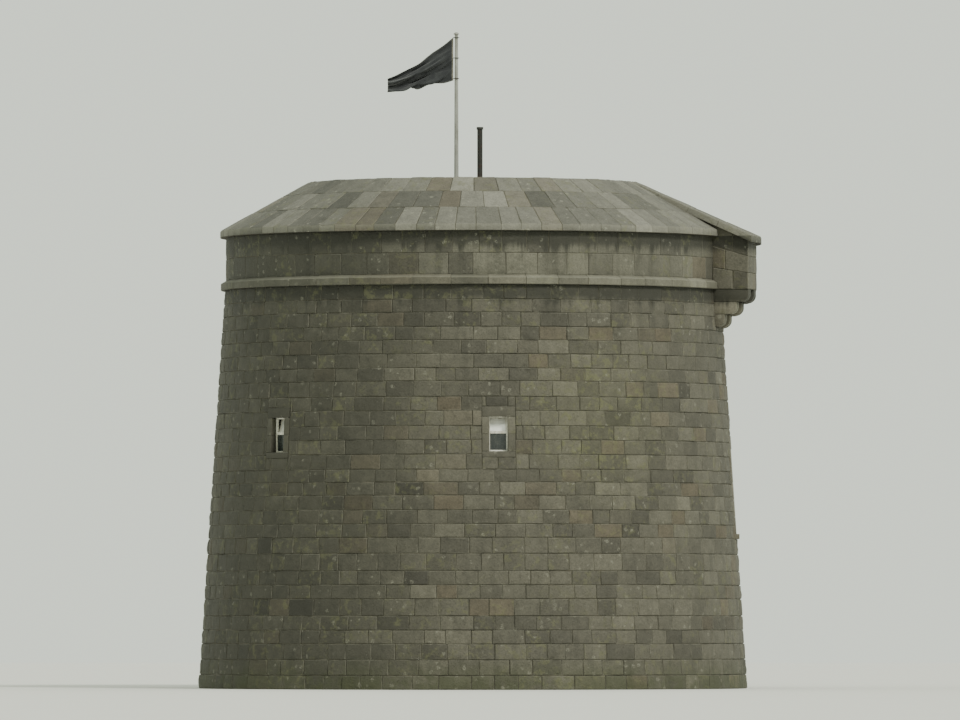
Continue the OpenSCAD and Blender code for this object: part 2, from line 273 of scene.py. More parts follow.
def ease_edges(
    thing: bpy.types.Object, width: float, steps: int = 2, sharper_than: float = 35
) -> None:
    """Rounds the sharp edges of a mesh.

    Args:
        thing: The mesh object.
        width: Width of the rounding, in metres.
        steps: Faces across the rounding.
        sharper_than: Smallest angle of an edge that is rounded, in degrees.
    """
    apply_modifier(
        thing, "BEVEL", width=width, segments=steps, limit_method="ANGLE",
        angle_limit=math.radians(sharper_than),
    )
    smooth(thing)


def copy_of_node(node: str, name: str) -> bpy.types.Object:
    """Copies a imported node's mesh into a new object, with its triangles joined into whole faces.

    Args:
        node: The node's name.
        name: The new object's name.

    Returns:
        The new object.
    """
    thing = bpy.data.objects.new(name, frame["nodes"][node].data.copy())
    bpy.context.scene.collection.objects.link(thing)
    thing.data.materials.clear()
    select_only(thing)
    if thing.data.has_custom_normals:
        bpy.ops.mesh.customdata_custom_splitnormals_clear()
    with editing(thing, Pick.VERTICES):
        bpy.ops.mesh.remove_doubles(threshold=0.0002)
        bpy.ops.mesh.dissolve_limited(angle_limit=math.radians(0.4))
    return thing


def toned(stone: bpy.types.Object, rng: np.random.Generator) -> bpy.types.Object:
    """Gives a whole stone its own tone, for the finishes that read it.

    Args:
        stone: The stone.
        rng: The source of its tone.

    Returns:
        The stone.
    """
    tone = np.empty((len(stone.data.vertices), 4), np.float32)
    tone[:] = (*rng.uniform(*TONES, 3), 0.0)
    layer = stone.data.color_attributes.new("stone", "FLOAT_COLOR", "POINT")
    layer.data.foreach_set("color", tone.ravel())
    return stone


def loose_copies(thing: bpy.types.Object) -> list[bpy.types.Object]:
    """Separates an object into its loose parts.

    Args:
        thing: The mesh object, which becomes the first part.

    Returns:
        The parts, in the order of their names.
    """
    before = set(bpy.data.objects)
    with editing(thing, Pick.VERTICES):
        bpy.ops.mesh.separate(type="LOOSE")
    return [thing, *sorted(set(bpy.data.objects) - before, key=lambda part: part.name)]


def joined(things: Sequence[bpy.types.Object], name: str) -> bpy.types.Object:
    """Joins objects into the first one and names it.

    Args:
        things: The objects.
        name: The name of the joined object.

    Returns:
        The joined object.
    """
    select_only(*things)
    if len(things) > 1:
        bpy.ops.object.join()
    things[0].name = things[0].data.name = name
    return things[0]


def sliced(
    thing: bpy.types.Object, level: float, gap: float
) -> tuple[bpy.types.Object, bpy.types.Object]:
    """Cuts a closed mesh in two at a height, with a fine joint between the halves.

    Args:
        thing: The mesh object, which becomes the lower half.
        level: The height.
        gap: Width of the joint, in metres.

    Returns:
        The lower half and the upper one.
    """
    other = thing.copy()
    other.data = thing.data.copy()
    bpy.context.scene.collection.objects.link(other)
    for half, side in ((thing, -1), (other, 1)):
        place = Vector((0, 0, level)) + Vector((0, 0, side * gap / 2))
        with editing(half, Pick.FACES):
            bpy.ops.mesh.bisect(
                plane_co=place, plane_no=(0, 0, 1), use_fill=True, clear_inner=side > 0,
                clear_outer=side < 0,
            )
    return thing, other


def cut_stones(
    node: str, name: str, levels: Sequence[float], rng: np.random.Generator,
    joint: float = 0.006, edge: float = 0.007,
) -> bpy.types.Object:
    """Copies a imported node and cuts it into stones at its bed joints.

    Args:
        node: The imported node.
        name: The new piece's name.
        levels: Heights of the bed joints, the lowest first.
        rng: The source of the stones' tones.
        joint: Width of a joint.
        edge: Width of the stones' rounded edges.

    Returns:
        The stones, as one piece.
    """
    rest = copy_of_node(node, name)
    stones = []
    for level in levels:
        below, rest = sliced(rest, level, joint)
        stones += loose_copies(below)
    stones += loose_copies(rest)
    for stone in stones:
        ease_edges(stone, edge)
        toned(stone, rng)
    return joined(stones, name)


def dress(thing: bpy.types.Object, finish: "Finish") -> None:
    """Gives an object one finish, in place of the materials that it has."""
    thing.data.materials.clear()
    thing.data.materials.append(finish.material())


def keep(piece: bpy.types.Object, slot: str, finish: "Finish", *nodes: str) -> None:
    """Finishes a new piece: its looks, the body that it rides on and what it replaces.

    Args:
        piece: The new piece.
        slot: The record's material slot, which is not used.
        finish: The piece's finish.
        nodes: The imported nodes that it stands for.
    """
    dress(piece, finish)
    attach(piece, "root")
    if nodes:
        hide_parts(*nodes)
    triangles = sum(len(face.vertices) - 2 for face in piece.data.polygons)
    LOG.info("%s: %d triangles", piece.name, triangles)


# Surfaces that stones are laid on


@dataclass(frozen=True)
class Revolved:
    """A surface with a straight outline swept round the tower's axis.

    Its stones are placed by their direction and by their distance along the outline.
    """

    r0: float
    z0: float
    r1: float
    z1: float
    facing: Facing = Facing.OUTWARDS

    @property
    def length(self) -> float:
        """Length of the outline."""
        return math.hypot(self.r1 - self.r0, self.z1 - self.z0)

    @property
    def normal(self) -> tuple[float, float]:
        """Direction across the outline, away from the wall."""
        side = self.facing.value / self.length
        return (side * (self.z1 - self.z0), -side * (self.r1 - self.r0))

    def radius(self, along: np.ndarray) -> np.ndarray:
        """Returns the surface's radius at distances along the outline."""
        return self.r0 + (self.r1 - self.r0) * along / self.length

    def at_height(self, z: float) -> float:
        """Returns the distance along the outline at a height."""
        return (z - self.z0) / (self.z1 - self.z0) * self.length

    def swept(
        self, turn: np.ndarray, along: np.ndarray, across: np.ndarray, up: np.ndarray
    ) -> np.ndarray:
        """Places points near the outline and turns them round the axis.

        Args:
            turn: Directions round the axis, in radians.
            along: Distances along the outline.
            across: How far the points lie outside it.
            up: How far they lie above it.

        Returns:
            The points, with their coordinates in the last dimension.
        """
        r = self.radius(along) + across
        z = self.z0 + (self.z1 - self.z0) * along / self.length + up
        return np.stack([r * np.cos(turn), r * np.sin(turn), z], -1)

    def point(self, turn: np.ndarray, along: np.ndarray, out: np.ndarray) -> np.ndarray:
        """Places points by turn, distance along the outline and distance off the surface."""
        return self.swept(turn, along, out * self.normal[0], out * self.normal[1])


@dataclass(frozen=True)
class Moulding(Revolved):
    """An upright face whose stones have a sloped top, which rises towards the wall."""

    depth: float = 0.1
    rise: float = 0.07

    def point(self, turn: np.ndarray, along: np.ndarray, out: np.ndarray) -> np.ndarray:
        """Places points as a plain surface does, and lifts the top of the stones' backs."""
        lift = along / self.length * self.rise * np.clip(-out / self.depth, 0, 1)
        return self.swept(turn, along, out * self.normal[0], out * self.normal[1] + lift)


@dataclass(frozen=True)
class Coping(Revolved):
    """A sloping top whose lowest stones have an upright end at the eave."""

    eave: float = 0.3

    def point(self, turn: np.ndarray, along: np.ndarray, out: np.ndarray) -> np.ndarray:
        """Places points on the surface; near the eave the stones' thickness is upright.

        Args:
            turn: Directions round the axis, in radians.
            along: Distances along the outline.
            out: Distances that the points stand off the surface.

        Returns:
            The points, with their coordinates in the last dimension.
        """
        upright = 1 - np.clip(along / self.eave, 0, 1)
        across, up = self.normal
        rise = up + (1 / up - up) * upright
        return self.swept(turn, along, out * across * (1 - upright), out * rise)


@dataclass(frozen=True)
class Cheek:
    """An upright face that runs out from the axis, whose top follows a slope.

    Its stones are placed by their distance from the axis and by their height above the foot.
    """

    turn: float
    foot: float
    height: float
    top: Callable[[np.ndarray], np.ndarray]
    side: int

    def radius(self, along: np.ndarray) -> np.ndarray:
        """Returns ones, because distances along this face are lengths already."""
        return np.ones_like(along)

    def point(self, reach: np.ndarray, along: np.ndarray, out: np.ndarray) -> np.ndarray:
        """Places points on the face.

        Args:
            reach: Distances from the axis.
            along: Heights above the foot, on a face of the full height.
            out: Distances that the points stand off the face.

        Returns:
            The points, with their coordinates in the last dimension.
        """
        z = self.foot + along / self.height * (self.top(reach) - self.foot)
        sine, cosine = math.sin(self.turn), math.cos(self.turn)
        aside = self.side * out
        return np.stack([reach * cosine - aside * sine, reach * sine + aside * cosine, z], -1)


# Laying stones


@dataclass(frozen=True)
class Dressing:
    """How the stones of one kind of work are cut and laid, in metres."""

    proud: float = 0.016
    depth: float = 0.012
    joint: float = 0.010
    arris: float = 0.009
    rough: float = 0.004
    belly: float = 0.005
    wander: float = 0.003
    unevenness: float = 0.004
    clear: float = 0.004

    @property
    def thin(self) -> bool:
        """Whether the stones are a thin facing, whose backs lie in the joints."""
        return self.depth < 0.1


@dataclass
class Mason:
    """Models one stone by hand, and lays copies of it in courses."""

    rng: np.random.Generator
    across: int = 4
    up: int = 3
    margin: float = 0.05
    arris_span: tuple[float, float] = (0.5, 1.7)
    arris_share: float = 0.3
    rim_rough: float = 0.35
    tone_mean: float = 0.5
    tone_spread: float = 0.17
    crease: float = 24

    def stone(self) -> bpy.types.Object:
        """Models a stone one metre each way, with a grid of faces in front and eased front edges.

        Returns:
            The stone, with its front towards +Z and its back at Z 0.
        """
        stone = added(
            bpy.ops.mesh.primitive_grid_add, x_subdivisions=self.across, y_subdivisions=self.up,
            size=1, location=(0, 0, 1),
        )
        with editing(stone, Pick.FACES):
            bpy.ops.mesh.extrude_region_move(TRANSFORM_OT_translate={"value": (0, 0, -1)})
            bpy.ops.mesh.dissolve_faces()
        mark_edges(stone, self.is_front_edge)
        with editing(stone, Pick.EDGES, everything=False):
            bpy.ops.mesh.bevel(offset=self.margin, segments=1)
        face_outwards(stone)
        return stone

    @staticmethod
    def is_front_edge(ends: np.ndarray) -> bool:
        """Says whether an edge lies on the rim of the stone's front."""
        rim = np.abs(ends[:, :2]) > 0.5 - NEAR
        return bool((ends[:, 2] > 1 - NEAR).all() and rim.all(0).any())

    def divided(self, low: float, high: float, count: float, spread: float) -> np.ndarray:
        """Divides a span into uneven parts.

        Args:
            low: Start of the span.
            high: End of the span.
            count: How many parts, before it is rounded.
            spread: Share by which a part may differ.

        Returns:
            The ends of the parts, those of the span among them.
        """
        parts = 1 + spread * self.rng.uniform(-1, 1, max(1, round(count)))
        return low + (high - low) * np.concatenate([[0], np.cumsum(parts) / parts.sum()])

    def heights(self, low: float, high: float, size: float, spread: float = 0.12) -> np.ndarray:
        """Divides a height into courses of about a size, and returns their bed joints."""
        return self.divided(low, high, (high - low) / size, spread)

    def course(
        self, low: float, high: float, start: float, end: float, radius: float, width: float,
        spread: float,
    ) -> list[Row]:
        """Divides one course into stones.

        Args:
            low: Foot of the course.
            high: Top of the course.
            start: Direction of its first end.
            end: Direction of its other end.
            radius: Radius at which the stones are measured.
            width: Usual width of a stone.
            spread: Share by which a width may differ.

        Returns:
            One row a stone: its two directions, its foot and its top.
        """
        ends = self.divided(start, end, (end - start) * radius / width, spread)
        if end - start > FULL_TURN - NEAR:
            ends += self.rng.uniform(0, width / radius)
        return [(first, last, low, high) for first, last in zip(ends[:-1], ends[1:])]

    def courses(
        self, surface: Revolved, levels: Sequence[float], start: float, end: float, width: float,
        spread: float = 0.28,
    ) -> list[Row]:
        """Divides a surface into courses of stones between two directions.

        Args:
            surface: What the stones are laid on.
            levels: The bed joints, as distances along its outline.
            start: Direction of the courses' first end.
            end: Direction of their other end.
            width: Usual width of a stone.
            spread: Share by which a width may differ.

        Returns:
            One row a stone, as course gives them.
        """
        rows = []
        for low, high in zip(levels[:-1], levels[1:]):
            radius = float(surface.radius(np.array((low + high) / 2)))
            rows += self.course(low, high, start, end, radius, width, spread)
        return rows

    def lay(
        self, name: str, surface: Revolved | Cheek, rows: Sequence[Row], dressing: Dressing
    ) -> bpy.types.Object:
        """Lays one stone for each row on a surface, as one mesh.

        Args:
            name: The name of the piece.
            surface: What the stones are laid on.
            rows: The stones' places, as course gives them.
            dressing: How the stones are cut.

        Returns:
            The piece, with a colour attribute named stone: tone, warmth, growth and wear. Wear is 1
            on the eased edges and -1 at the back of thin stones.
        """
        stone = self.stone()
        shape = corner_points(stone)
        count = len(rows)
        apply_modifier(
            stone, "ARRAY", count=count, use_relative_offset=False, use_constant_offset=True,
            constant_offset_displace=(2, 0, 0),
        )
        turn, along, out = self.spread_out(shape, surface, np.array(rows), dressing)
        move_points(stone, surface.point(turn, along, out).reshape(-1, 3))
        marks = np.empty((count, len(shape), 4), np.float32)
        marks[..., 0] = self.rng.normal(self.tone_mean, self.tone_spread, (count, 1)).clip(0, 1)
        marks[..., 1] = self.rng.random((count, 1))
        marks[..., 2] = self.rng.random((count, 1))
        rim = np.abs(shape[:, 2] - 1 + self.margin) < NEAR
        back = (shape[:, 2] < NEAR) & dressing.thin
        marks[..., 3] = rim - back.astype(float)
        layer = stone.data.color_attributes.new("stone", "FLOAT_COLOR", "POINT")
        layer.data.foreach_set("color", marks.ravel())
        face_outwards(stone)
        smooth(stone, self.crease)
        return joined([stone], name)

    def spread_out(
        self, shape: np.ndarray, surface: Revolved | Cheek, rows: np.ndarray, dressing: Dressing
    ) -> tuple[np.ndarray, np.ndarray, np.ndarray]:
        """Fits the stone's points into each row's place, with the width of its eased edge kept.

        Args:
            shape: The points of the stone that mason models.
            surface: What the stones are laid on.
            rows: The stones' places.
            dressing: How the stones are cut.

        Returns:
            Direction, distance along the outline and distance off the surface of every point.
        """
        first, last, low, high = (rows[:, i : i + 1] for i in range(4))
        middle_a, middle_v = (first + last) / 2, (low + high) / 2
        radius = surface.radius(middle_v)
        slack = self.rng.uniform(-1, 1, (len(rows), 4)) * dressing.wander
        half_w = (last - first) / 2 * radius - dressing.joint / 2 + slack[:, :1]
        half_h = (high - low) / 2 - dressing.joint / 2 + slack[:, 1:2]
        arris = dressing.arris * self.rng.uniform(*self.arris_span, (len(rows), len(shape)))
        arris = np.minimum(arris, self.arris_share * np.minimum(half_w, half_h))
        x, y = shape[:, 0], shape[:, 1]
        wide = self.stretched(x, half_w, arris) + slack[:, 2:3] * y
        tall = self.stretched(y, half_h, arris) + slack[:, 3:4] * x
        return middle_a + wide / radius, middle_v + tall, self.stood_off(shape, arris, dressing)

    def stretched(self, place: np.ndarray, half: np.ndarray, arris: np.ndarray) -> np.ndarray:
        """Stretches places across a stone to its width, and keeps the width of its eased edge.

        Args:
            place: Places across the stone that mason models.
            half: Half width of each stone.
            arris: Width of the eased edge at each point.

        Returns:
            The places, one row a stone.
        """
        flat = 0.5 - self.margin
        inside = place / flat * (half - arris)
        edge = np.sign(place) * (half - (0.5 - np.abs(place)) / self.margin * arris)
        return np.where(np.abs(place) > flat + NEAR, edge, inside)

    def stood_off(self, shape: np.ndarray, arris: np.ndarray, dressing: Dressing) -> np.ndarray:
        """Works out how far off the surface each point stands, with a worked face in front.

        Args:
            shape: The points of the stone that mason models.
            arris: Width of the eased edge at each point, one row a stone.
            dressing: How the stones are cut.

        Returns:
            The distances, one row a stone.
        """
        count = len(arris)
        x, y, z = shape.T
        proud = dressing.proud + dressing.unevenness * self.rng.uniform(-1, 1, (count, 1))
        nose = 1 - self.margin
        share = np.clip((z - nose) / self.margin, 0, 1)
        flank = -dressing.depth + (proud - arris + dressing.depth) * z / nose
        out = np.where(z > nose - NEAR, proud - arris * (1 - share), flank)
        belly = (1 - (2 * x) ** 2) * (1 - (2 * y) ** 2)
        worked = self.rim_rough + (1 - self.rim_rough) * belly
        relief = dressing.rough * self.rng.normal(0, 1, arris.shape) * worked
        tilt = self.rng.normal(0, 1, (count, 2)) * dressing.rough
        front = out + (relief + dressing.belly * belly + tilt[:, :1] * x + tilt[:, 1:] * y)
        return np.where(z > 1 - NEAR, np.maximum(front, dressing.clear), out)


def clear_of(rows: Sequence[Row], hole: Row, narrow: float, low: float = 0.05) -> list[Row]:
    """Cuts stones back from an opening.

    Args:
        rows: The stones' places.
        hole: The opening's two directions, its foot and its top.
        narrow: Narrowest part of a stone that is kept, in radians.
        low: Lowest part of a stone that is kept, in metres.

    Returns:
        The places of what is left of the stones.
    """
    left = []
    for a0, a1, v0, v1 in rows:
        turns = round(((a0 + a1) - (hole[0] + hole[1])) / 2 / FULL_TURN) * FULL_TURN
        h0, h1 = hole[0] + turns, hole[1] + turns
        if a1 <= h0 or a0 >= h1 or v1 <= hole[2] or v0 >= hole[3]:
            left.append((a0, a1, v0, v1))
            continue
        if h0 - a0 > narrow:
            left.append((a0, h0, v0, v1))
        if a1 - h1 > narrow:
            left.append((h1, a1, v0, v1))
        inner = (max(a0, h0), min(a1, h1))
        if hole[2] - v0 > low:
            left.append((*inner, v0, hole[2]))
        if v1 - hole[3] > low:
            left.append((*inner, hole[3], v1))
    return left


# Shader trees


@dataclass
class Shading:
    """A shader tree, with short calls for the nodes that the finishes share."""

    tree: bpy.types.NodeTree
    place: Value = (0.0, 0.0, 0.0)

    def node(
        self, kind: str, inputs: dict[int | str, Value] | None = None, **settings: object
    ) -> bpy.types.Node:
        """Adds a node.

        Args:
            kind: The node's type, without its ShaderNode prefix.
            inputs: Values or sockets for its inputs.
            settings: The node's properties and their values.

        Returns:
            The node.
        """
        made = self.tree.nodes.new("ShaderNode" + kind)
        for key, value in settings.items():
            setattr(made, key, value)
        for key, value in (inputs or {}).items():
            self.put(made.inputs[key], value)
        return made

    def put(self, socket: bpy.types.NodeSocket, value: Value) -> None:
        """Links a socket to another one, or sets its value.

        Args:
            socket: The input.
            value: What goes into it.
        """
        if isinstance(value, bpy.types.NodeSocket):
            self.tree.links.new(value, socket)
        else:
            socket.default_value = value

    def scaled(self, vector: Value, scale: tuple[float, float, float]) -> Value:
        """Scales a pattern's coordinates."""
        return self.node("Mapping", {"Vector": vector, "Scale": scale}).outputs[0]

    def parts(self, vector: Value) -> Sockets:
        """Parts a vector into its three coordinates."""
        return self.node("SeparateXYZ", {0: vector}).outputs

    def channels(self, colour: Value) -> Sockets:
        """Parts a colour into its three channels."""
        return self.node("SeparateColor", {0: colour}).outputs

    def noise(
        self, vector: Value, scale: Value, detail: float = 4, rough: float = 0.55, warp: float = 0
    ) -> Value:
        """Adds fractal noise.

        Args:
            vector: Its coordinates.
            scale: Its scale.
            detail: Its number of octaves.
            rough: Share of each finer octave.
            warp: How far it is distorted.

        Returns:
            Its value.
        """
        inputs = {
            "Vector": vector, "Scale": scale, "Detail": detail, "Roughness": rough,
            "Distortion": warp,
        }
        return self.node("TexNoise", inputs).outputs[0]

    def cells(self, vector: Value, scale: Value) -> Sockets:
        """Adds a pattern of cells."""
        return self.node("TexVoronoi", {"Vector": vector, "Scale": scale}, feature="F1").outputs

    def math(self, operation: str, *values: Value) -> Value:
        """Adds one step of arithmetic."""
        return self.node("Math", dict(enumerate(values)), operation=operation).outputs[0]

    def times(self, first: Value, second: Value) -> Value:
        """Returns the product of two values."""
        return self.math("MULTIPLY", first, second)

    def times_plus(self, first: Value, second: Value, third: Value) -> Value:
        """Returns the product of two values, plus a third one."""
        return self.math("MULTIPLY_ADD", first, second, third)

    def span(
        self, value: Value, low: float, high: float, to_low: float = 0, to_high: float = 1
    ) -> Value:
        """Maps a value from one span to another, clamped, with soft ends."""
        inputs = {0: value, 1: low, 2: high, 3: to_low, 4: to_high}
        return self.node("MapRange", inputs, interpolation_type="SMOOTHSTEP").outputs[0]

    def mix(self, share: Value, first: Value, second: Value, blend: str = "MIX") -> Value:
        """Mixes a share of the second colour into the first one."""
        inputs = {0: share, 6: first, 7: second}
        return self.node("Mix", inputs, data_type="RGBA", blend_type=blend).outputs[2]

    def grouped(self, name: str, **inputs: Value) -> Sockets:
        """Adds a shared group.

        Args:
            name: The group's name.
            inputs: Its inputs.

        Returns:
            Its outputs.
        """
        made = self.node("Group", None, node_tree=bpy.data.node_groups[name])
        for key, value in inputs.items():
            self.put(made.inputs[key], value)
        return made.outputs

    def surface(
        self, colour: Value, rough: Value, height: Value, depth: float,
        more: dict[str, Value] | None = None,
    ) -> Value:
        """Adds the surface shader and its relief.

        Args:
            colour: Base colour.
            rough: Roughness.
            height: The relief.
            depth: Depth of the relief, in metres.
            more: Other inputs of the shader.

        Returns:
            The shader.
        """
        relief = {"Height": height, "Distance": depth, "Strength": 1.0}
        normal = self.node("Bump", relief).outputs[0]
        inputs = {"Base Color": colour, "Roughness": rough, "Normal": normal}
        return self.node("BsdfPrincipled", inputs | (more or {})).outputs[0]


def new_group(
    name: str, takes: dict[str, float | None], gives: Sequence[str]
) -> tuple[Shading, Sockets, Sockets]:
    """Starts a shared shader group.

    Args:
        name: The group's name.
        takes: Its number inputs and their usual values, and None for a vector.
        gives: Its outputs, which are values.

    Returns:
        The group's tree, its input node's outputs and its output node's inputs.
    """
    tree = bpy.data.node_groups.new(name, "ShaderNodeTree")
    for key, value in takes.items():
        kind = "NodeSocketVector" if value is None else "NodeSocketFloat"
        socket = tree.interface.new_socket(name=key, in_out="INPUT", socket_type=kind)
        if value is not None:
            socket.default_value = value
    for key in gives:
        tree.interface.new_socket(name=key, in_out="OUTPUT", socket_type="NodeSocketFloat")
    source = tree.nodes.new("NodeGroupInput")
    result = tree.nodes.new("NodeGroupOutput")
    return Shading(tree), source.outputs, result.inputs


def build_grain() -> None:
    """Builds the crystals of stone and the grit of mortar."""
    tree, takes, gives = new_group(
        "Grain", {"Vector": None, "Scale": 60, "Contrast": 1}, ("Tone", "Height")
    )
    vector, scale = takes["Vector"], takes["Scale"]
    flecks = tree.channels(tree.cells(vector, scale)["Color"])[0]
    fine = tree.noise(vector, tree.times(scale, 0.5), 5, 0.7)
    coarse = tree.noise(vector, tree.times(scale, 0.09), 4, 0.6)
    total = tree.math("ADD", tree.times(flecks, 0.35), tree.times(fine, 0.6))
    total = tree.math("ADD", total, tree.times(coarse, 0.8))
    centred = tree.math("SUBTRACT", total, 0.87)
    tree.put(gives["Tone"], tree.times_plus(centred, takes["Contrast"], 1.0))
    height = tree.times_plus(tree.span(fine, 0.25, 0.5), 0.5, tree.times(coarse, 0.6))
    tree.put(gives["Height"], tree.times_plus(flecks, 0.08, height))


def build_weather() -> None:
    """Builds what weather does to stone: blotches, streaks, growth and round spots of lichen."""
    tree, takes, gives = new_group(
        "Weather", {"Vector": None}, ("Blotch", "Streak", "Growth", "Spots")
    )
    vector = takes["Vector"]
    broad = tree.noise(vector, 0.45, 4, 0.5, 0.3)
    mottle = tree.noise(vector, 3.1, 7, 0.66, 0.5)
    tree.put(gives["Blotch"], tree.times_plus(mottle, 0.55, tree.times(broad, 0.45)))
    runs = tree.noise(tree.scaled(vector, (3.4, 3.4, 0.24)), 1, 6, 0.62, 0.2)
    tree.put(gives["Streak"], tree.span(runs, 0.46, 0.68))
    growth = tree.noise(vector, 5.2, 9, 0.7, 0.3)
    tree.put(gives["Growth"], tree.span(growth, 0.5, 0.62))
    ragged = tree.node("TexNoise", {"Vector": vector, "Scale": 16.0, "Detail": 4}).outputs[1]
    bent = tree.node("VectorMath", {0: ragged, 3: 0.1}, operation="SCALE").outputs[0]
    bent = tree.node("VectorMath", {0: vector, 1: bent}, operation="ADD").outputs[0]
    cells = tree.cells(bent, 6.5)
    rim = tree.span(tree.channels(cells["Color"])[0], 0.4, 1.0, 0.0, 0.4)
    crust = tree.span(tree.noise(vector, 34.0, 4, 0.7), 0.42, 0.56)
    spots = tree.span(tree.math("SUBTRACT", rim, cells["Distance"]), 0.0, 0.12)
    tree.put(gives["Spots"], tree.times(spots, crust))


def build_wear() -> None:
    """Builds the chips that paint loses."""
    tree, takes, gives = new_group("Wear", {"Vector": None, "Scale": 9}, ("Mask",))
    worn = tree.noise(takes["Vector"], takes["Scale"], 8, 0.7)
    tree.put(gives["Mask"], tree.span(worn, 0.52, 0.63))


# Finishes


@dataclass(frozen=True)
class Finish:
    """What every finish has: a name, and a material that it builds once."""

    name: str

    def material(self) -> bpy.types.Material:
        """Builds the finish's material the first time, and finds it later.

        Returns:
            The material.
        """
        made = bpy.data.materials.get(self.name)
        if made is None:
            made = bpy.data.materials.new(self.name)
            made.use_nodes = True
            made.node_tree.nodes.clear()
            tree = Shading(made.node_tree)
            tree.place = tree.node("TexCoord").outputs["Object"]
            tree.put(tree.node("OutputMaterial").inputs[0], self.shade(tree))
        return made

    def shade(self, tree: Shading) -> Value:
        """Builds the finish in a tree and returns its surface shader."""
        raise NotImplementedError


@dataclass(frozen=True)
class Granite(Finish):
    """Weathered granite, whose stones differ in tone.

    The painted shadow under the ledges (partly drip stains), the painted shade on the -X side and
    the patch of lichen have their places on this tower.
    """

    dark: Colour = rgb(52, 50, 42)
    light: Colour = rgb(99, 96, 83)
    warm: Colour = rgb(94, 81, 60)
    # Dark colour of algae, also used for the painted shade and the painted shadow
    algae_and_shade: Colour = rgb(40, 40, 31)
    moss: Colour = rgb(60, 64, 38)
    lichen: Colour = rgb(98, 99, 66)
    pale: Colour = rgb(142, 141, 126)
    ledges: tuple[float, float] = (9.6, 10.87)
    outside_r: float = 5.0
    patch_place: tuple[float, float, float] = (3.1, -5.4, 6.4)
    # Strengths of the painted shade on the -X side of the front, and of the painted shadow, partly
    # drip staining, under the ledges
    painted_side_shade: float = 0.52
    ledge_stain_and_shadow: float = 0.9
    darkening: float = 0.6
    lichens: float = 0.4
    spots: float = 0.4
    streaks: float = 0.45
    bumps: float = 0.012

    def shade(self, tree: Shading) -> Value:
        """Builds the stone: grain, tone by the stone, growth, painted shade and shadow, rain
        streaks and pale edges.

        Args:
            tree: The material's tree.

        Returns:
            The surface shader.
        """
        marks = tree.node("Attribute", attribute_name="stone", attribute_type="GEOMETRY").outputs
        tone, warmth, growth = tree.channels(marks["Color"])
        grain = tree.grouped("Grain", Vector=tree.place, Scale=48.0, Contrast=0.8)
        weather = tree.grouped("Weather", Vector=tree.place)
        colour = tree.mix(tone, self.dark, self.light)
        colour = tree.mix(tree.span(warmth, 0.84, 1.0, 0, 0.4), colour, self.warm)
        colour = tree.mix(1.0, colour, grain["Tone"], "MULTIPLY")
        dots = tree.span(warmth, 0.3, 0.8, self.spots, 0.1 * self.spots)
        layers = (
            *self.dark_growth_and_shade(tree, weather, growth),
            *self.lichen_growth(tree, weather, growth),
            (tree.times(weather["Spots"], dots), self.pale),
            (tree.times(marks["Alpha"], 0.3), self.pale),
            (tree.span(marks["Alpha"], 0.1, -0.5, 0, 0.7), self.algae_and_shade),
        )
        for share, over in layers:
            colour = tree.mix(share, colour, over)
        height = tree.times_plus(weather["Growth"], 0.15, grain["Height"])
        height = tree.times_plus(tree.noise(tree.place, 13.0, 5, 0.6), 1.4, height)
        rough = tree.span(grain["Height"], 0.2, 1.0, 0.93, 0.78)
        return tree.surface(colour, rough, height, self.bumps)

    def dark_growth_and_shade(self, tree: Shading, weather: Sockets, growth: Value) -> list[Layer]:
        """Builds the dark growth and painted shade: growth by the stone, deepened towards -X as
        painted shade; painted shade on the -X side of the front; a painted shadow, partly drip
        stains, under the ledges; rain streaks; moss at the foot.

        Args:
            tree: The material's tree.
            weather: Outputs of the weather group.
            growth: What grows on each stone, from dark to pale.

        Returns:
            The masks and their colours, the lowest layer first.
        """
        x, y, z = tree.parts(tree.place)
        blotches = tree.span(weather["Blotch"], 0.46, 0.6, 0, self.darkening)
        blotches = tree.times(blotches, tree.span(growth, 0.0, 0.9, 1.0, 0.35))
        front = tree.span(y, 3.0, -3.0)
        drop = self.below_ledge(tree, z)
        wet = tree.math("MAXIMUM", tree.span(drop, 1.7, 0.0), tree.span(z, 1.5, 0.0))
        runs = tree.times(weather["Streak"], tree.times_plus(wet, 0.6, 0.4))
        ragged = tree.times_plus(weather["Streak"], -0.16, drop)
        foot = tree.span(z, 0.9, 0.0, 0, 0.7)
        return [
            # Damp blotches are real growth; they grow stronger towards -X as painted shade
            (tree.times(blotches, tree.span(x, -6.2, 2.2, 1.0, 0.35)), self.algae_and_shade),
            # Painted shade: the front darkens towards -X, on the side that the light misses
            (tree.times(front, tree.span(x, -0.2, -3.2, 0, self.painted_side_shade)), self.algae_and_shade),
            (tree.times(front, tree.span(x, -4.2, -6.0, 0, self.painted_side_shade / 2)), self.algae_and_shade),
            (tree.times(runs, self.streaks), self.algae_and_shade),
            # Painted shadow under the lip and the string course, partly drip staining
            (tree.span(ragged, 0.44, 0.22, 0, self.ledge_stain_and_shadow), self.algae_and_shade),
            (tree.times(foot, tree.span(weather["Blotch"], 0.35, 0.55)), self.moss),
        ]

    def lichen_growth(self, tree: Shading, weather: Sockets, growth: Value) -> list[Layer]:
        """Builds the pale growth: by the stone, and in one broad patch.

        Args:
            tree: The material's tree.
            weather: Outputs of the weather group.
            growth: What grows on each stone, from dark to pale.

        Returns:
            The masks and their colours, the lowest layer first.
        """
        patches = tree.times(weather["Growth"], self.lichens)
        ends = {0: tree.place, 1: self.patch_place}
        away = tree.node("VectorMath", ends, operation="DISTANCE").outputs[1]
        broad = tree.times(
            tree.span(away, 2.6, 0.4, 0, 0.45), tree.span(weather["Growth"], 0.0, 0.6, 0.3)
        )
        return [
            (tree.times(patches, tree.span(growth, 0.35, 0.9)), self.lichen),
            (broad, self.lichen),
        ]

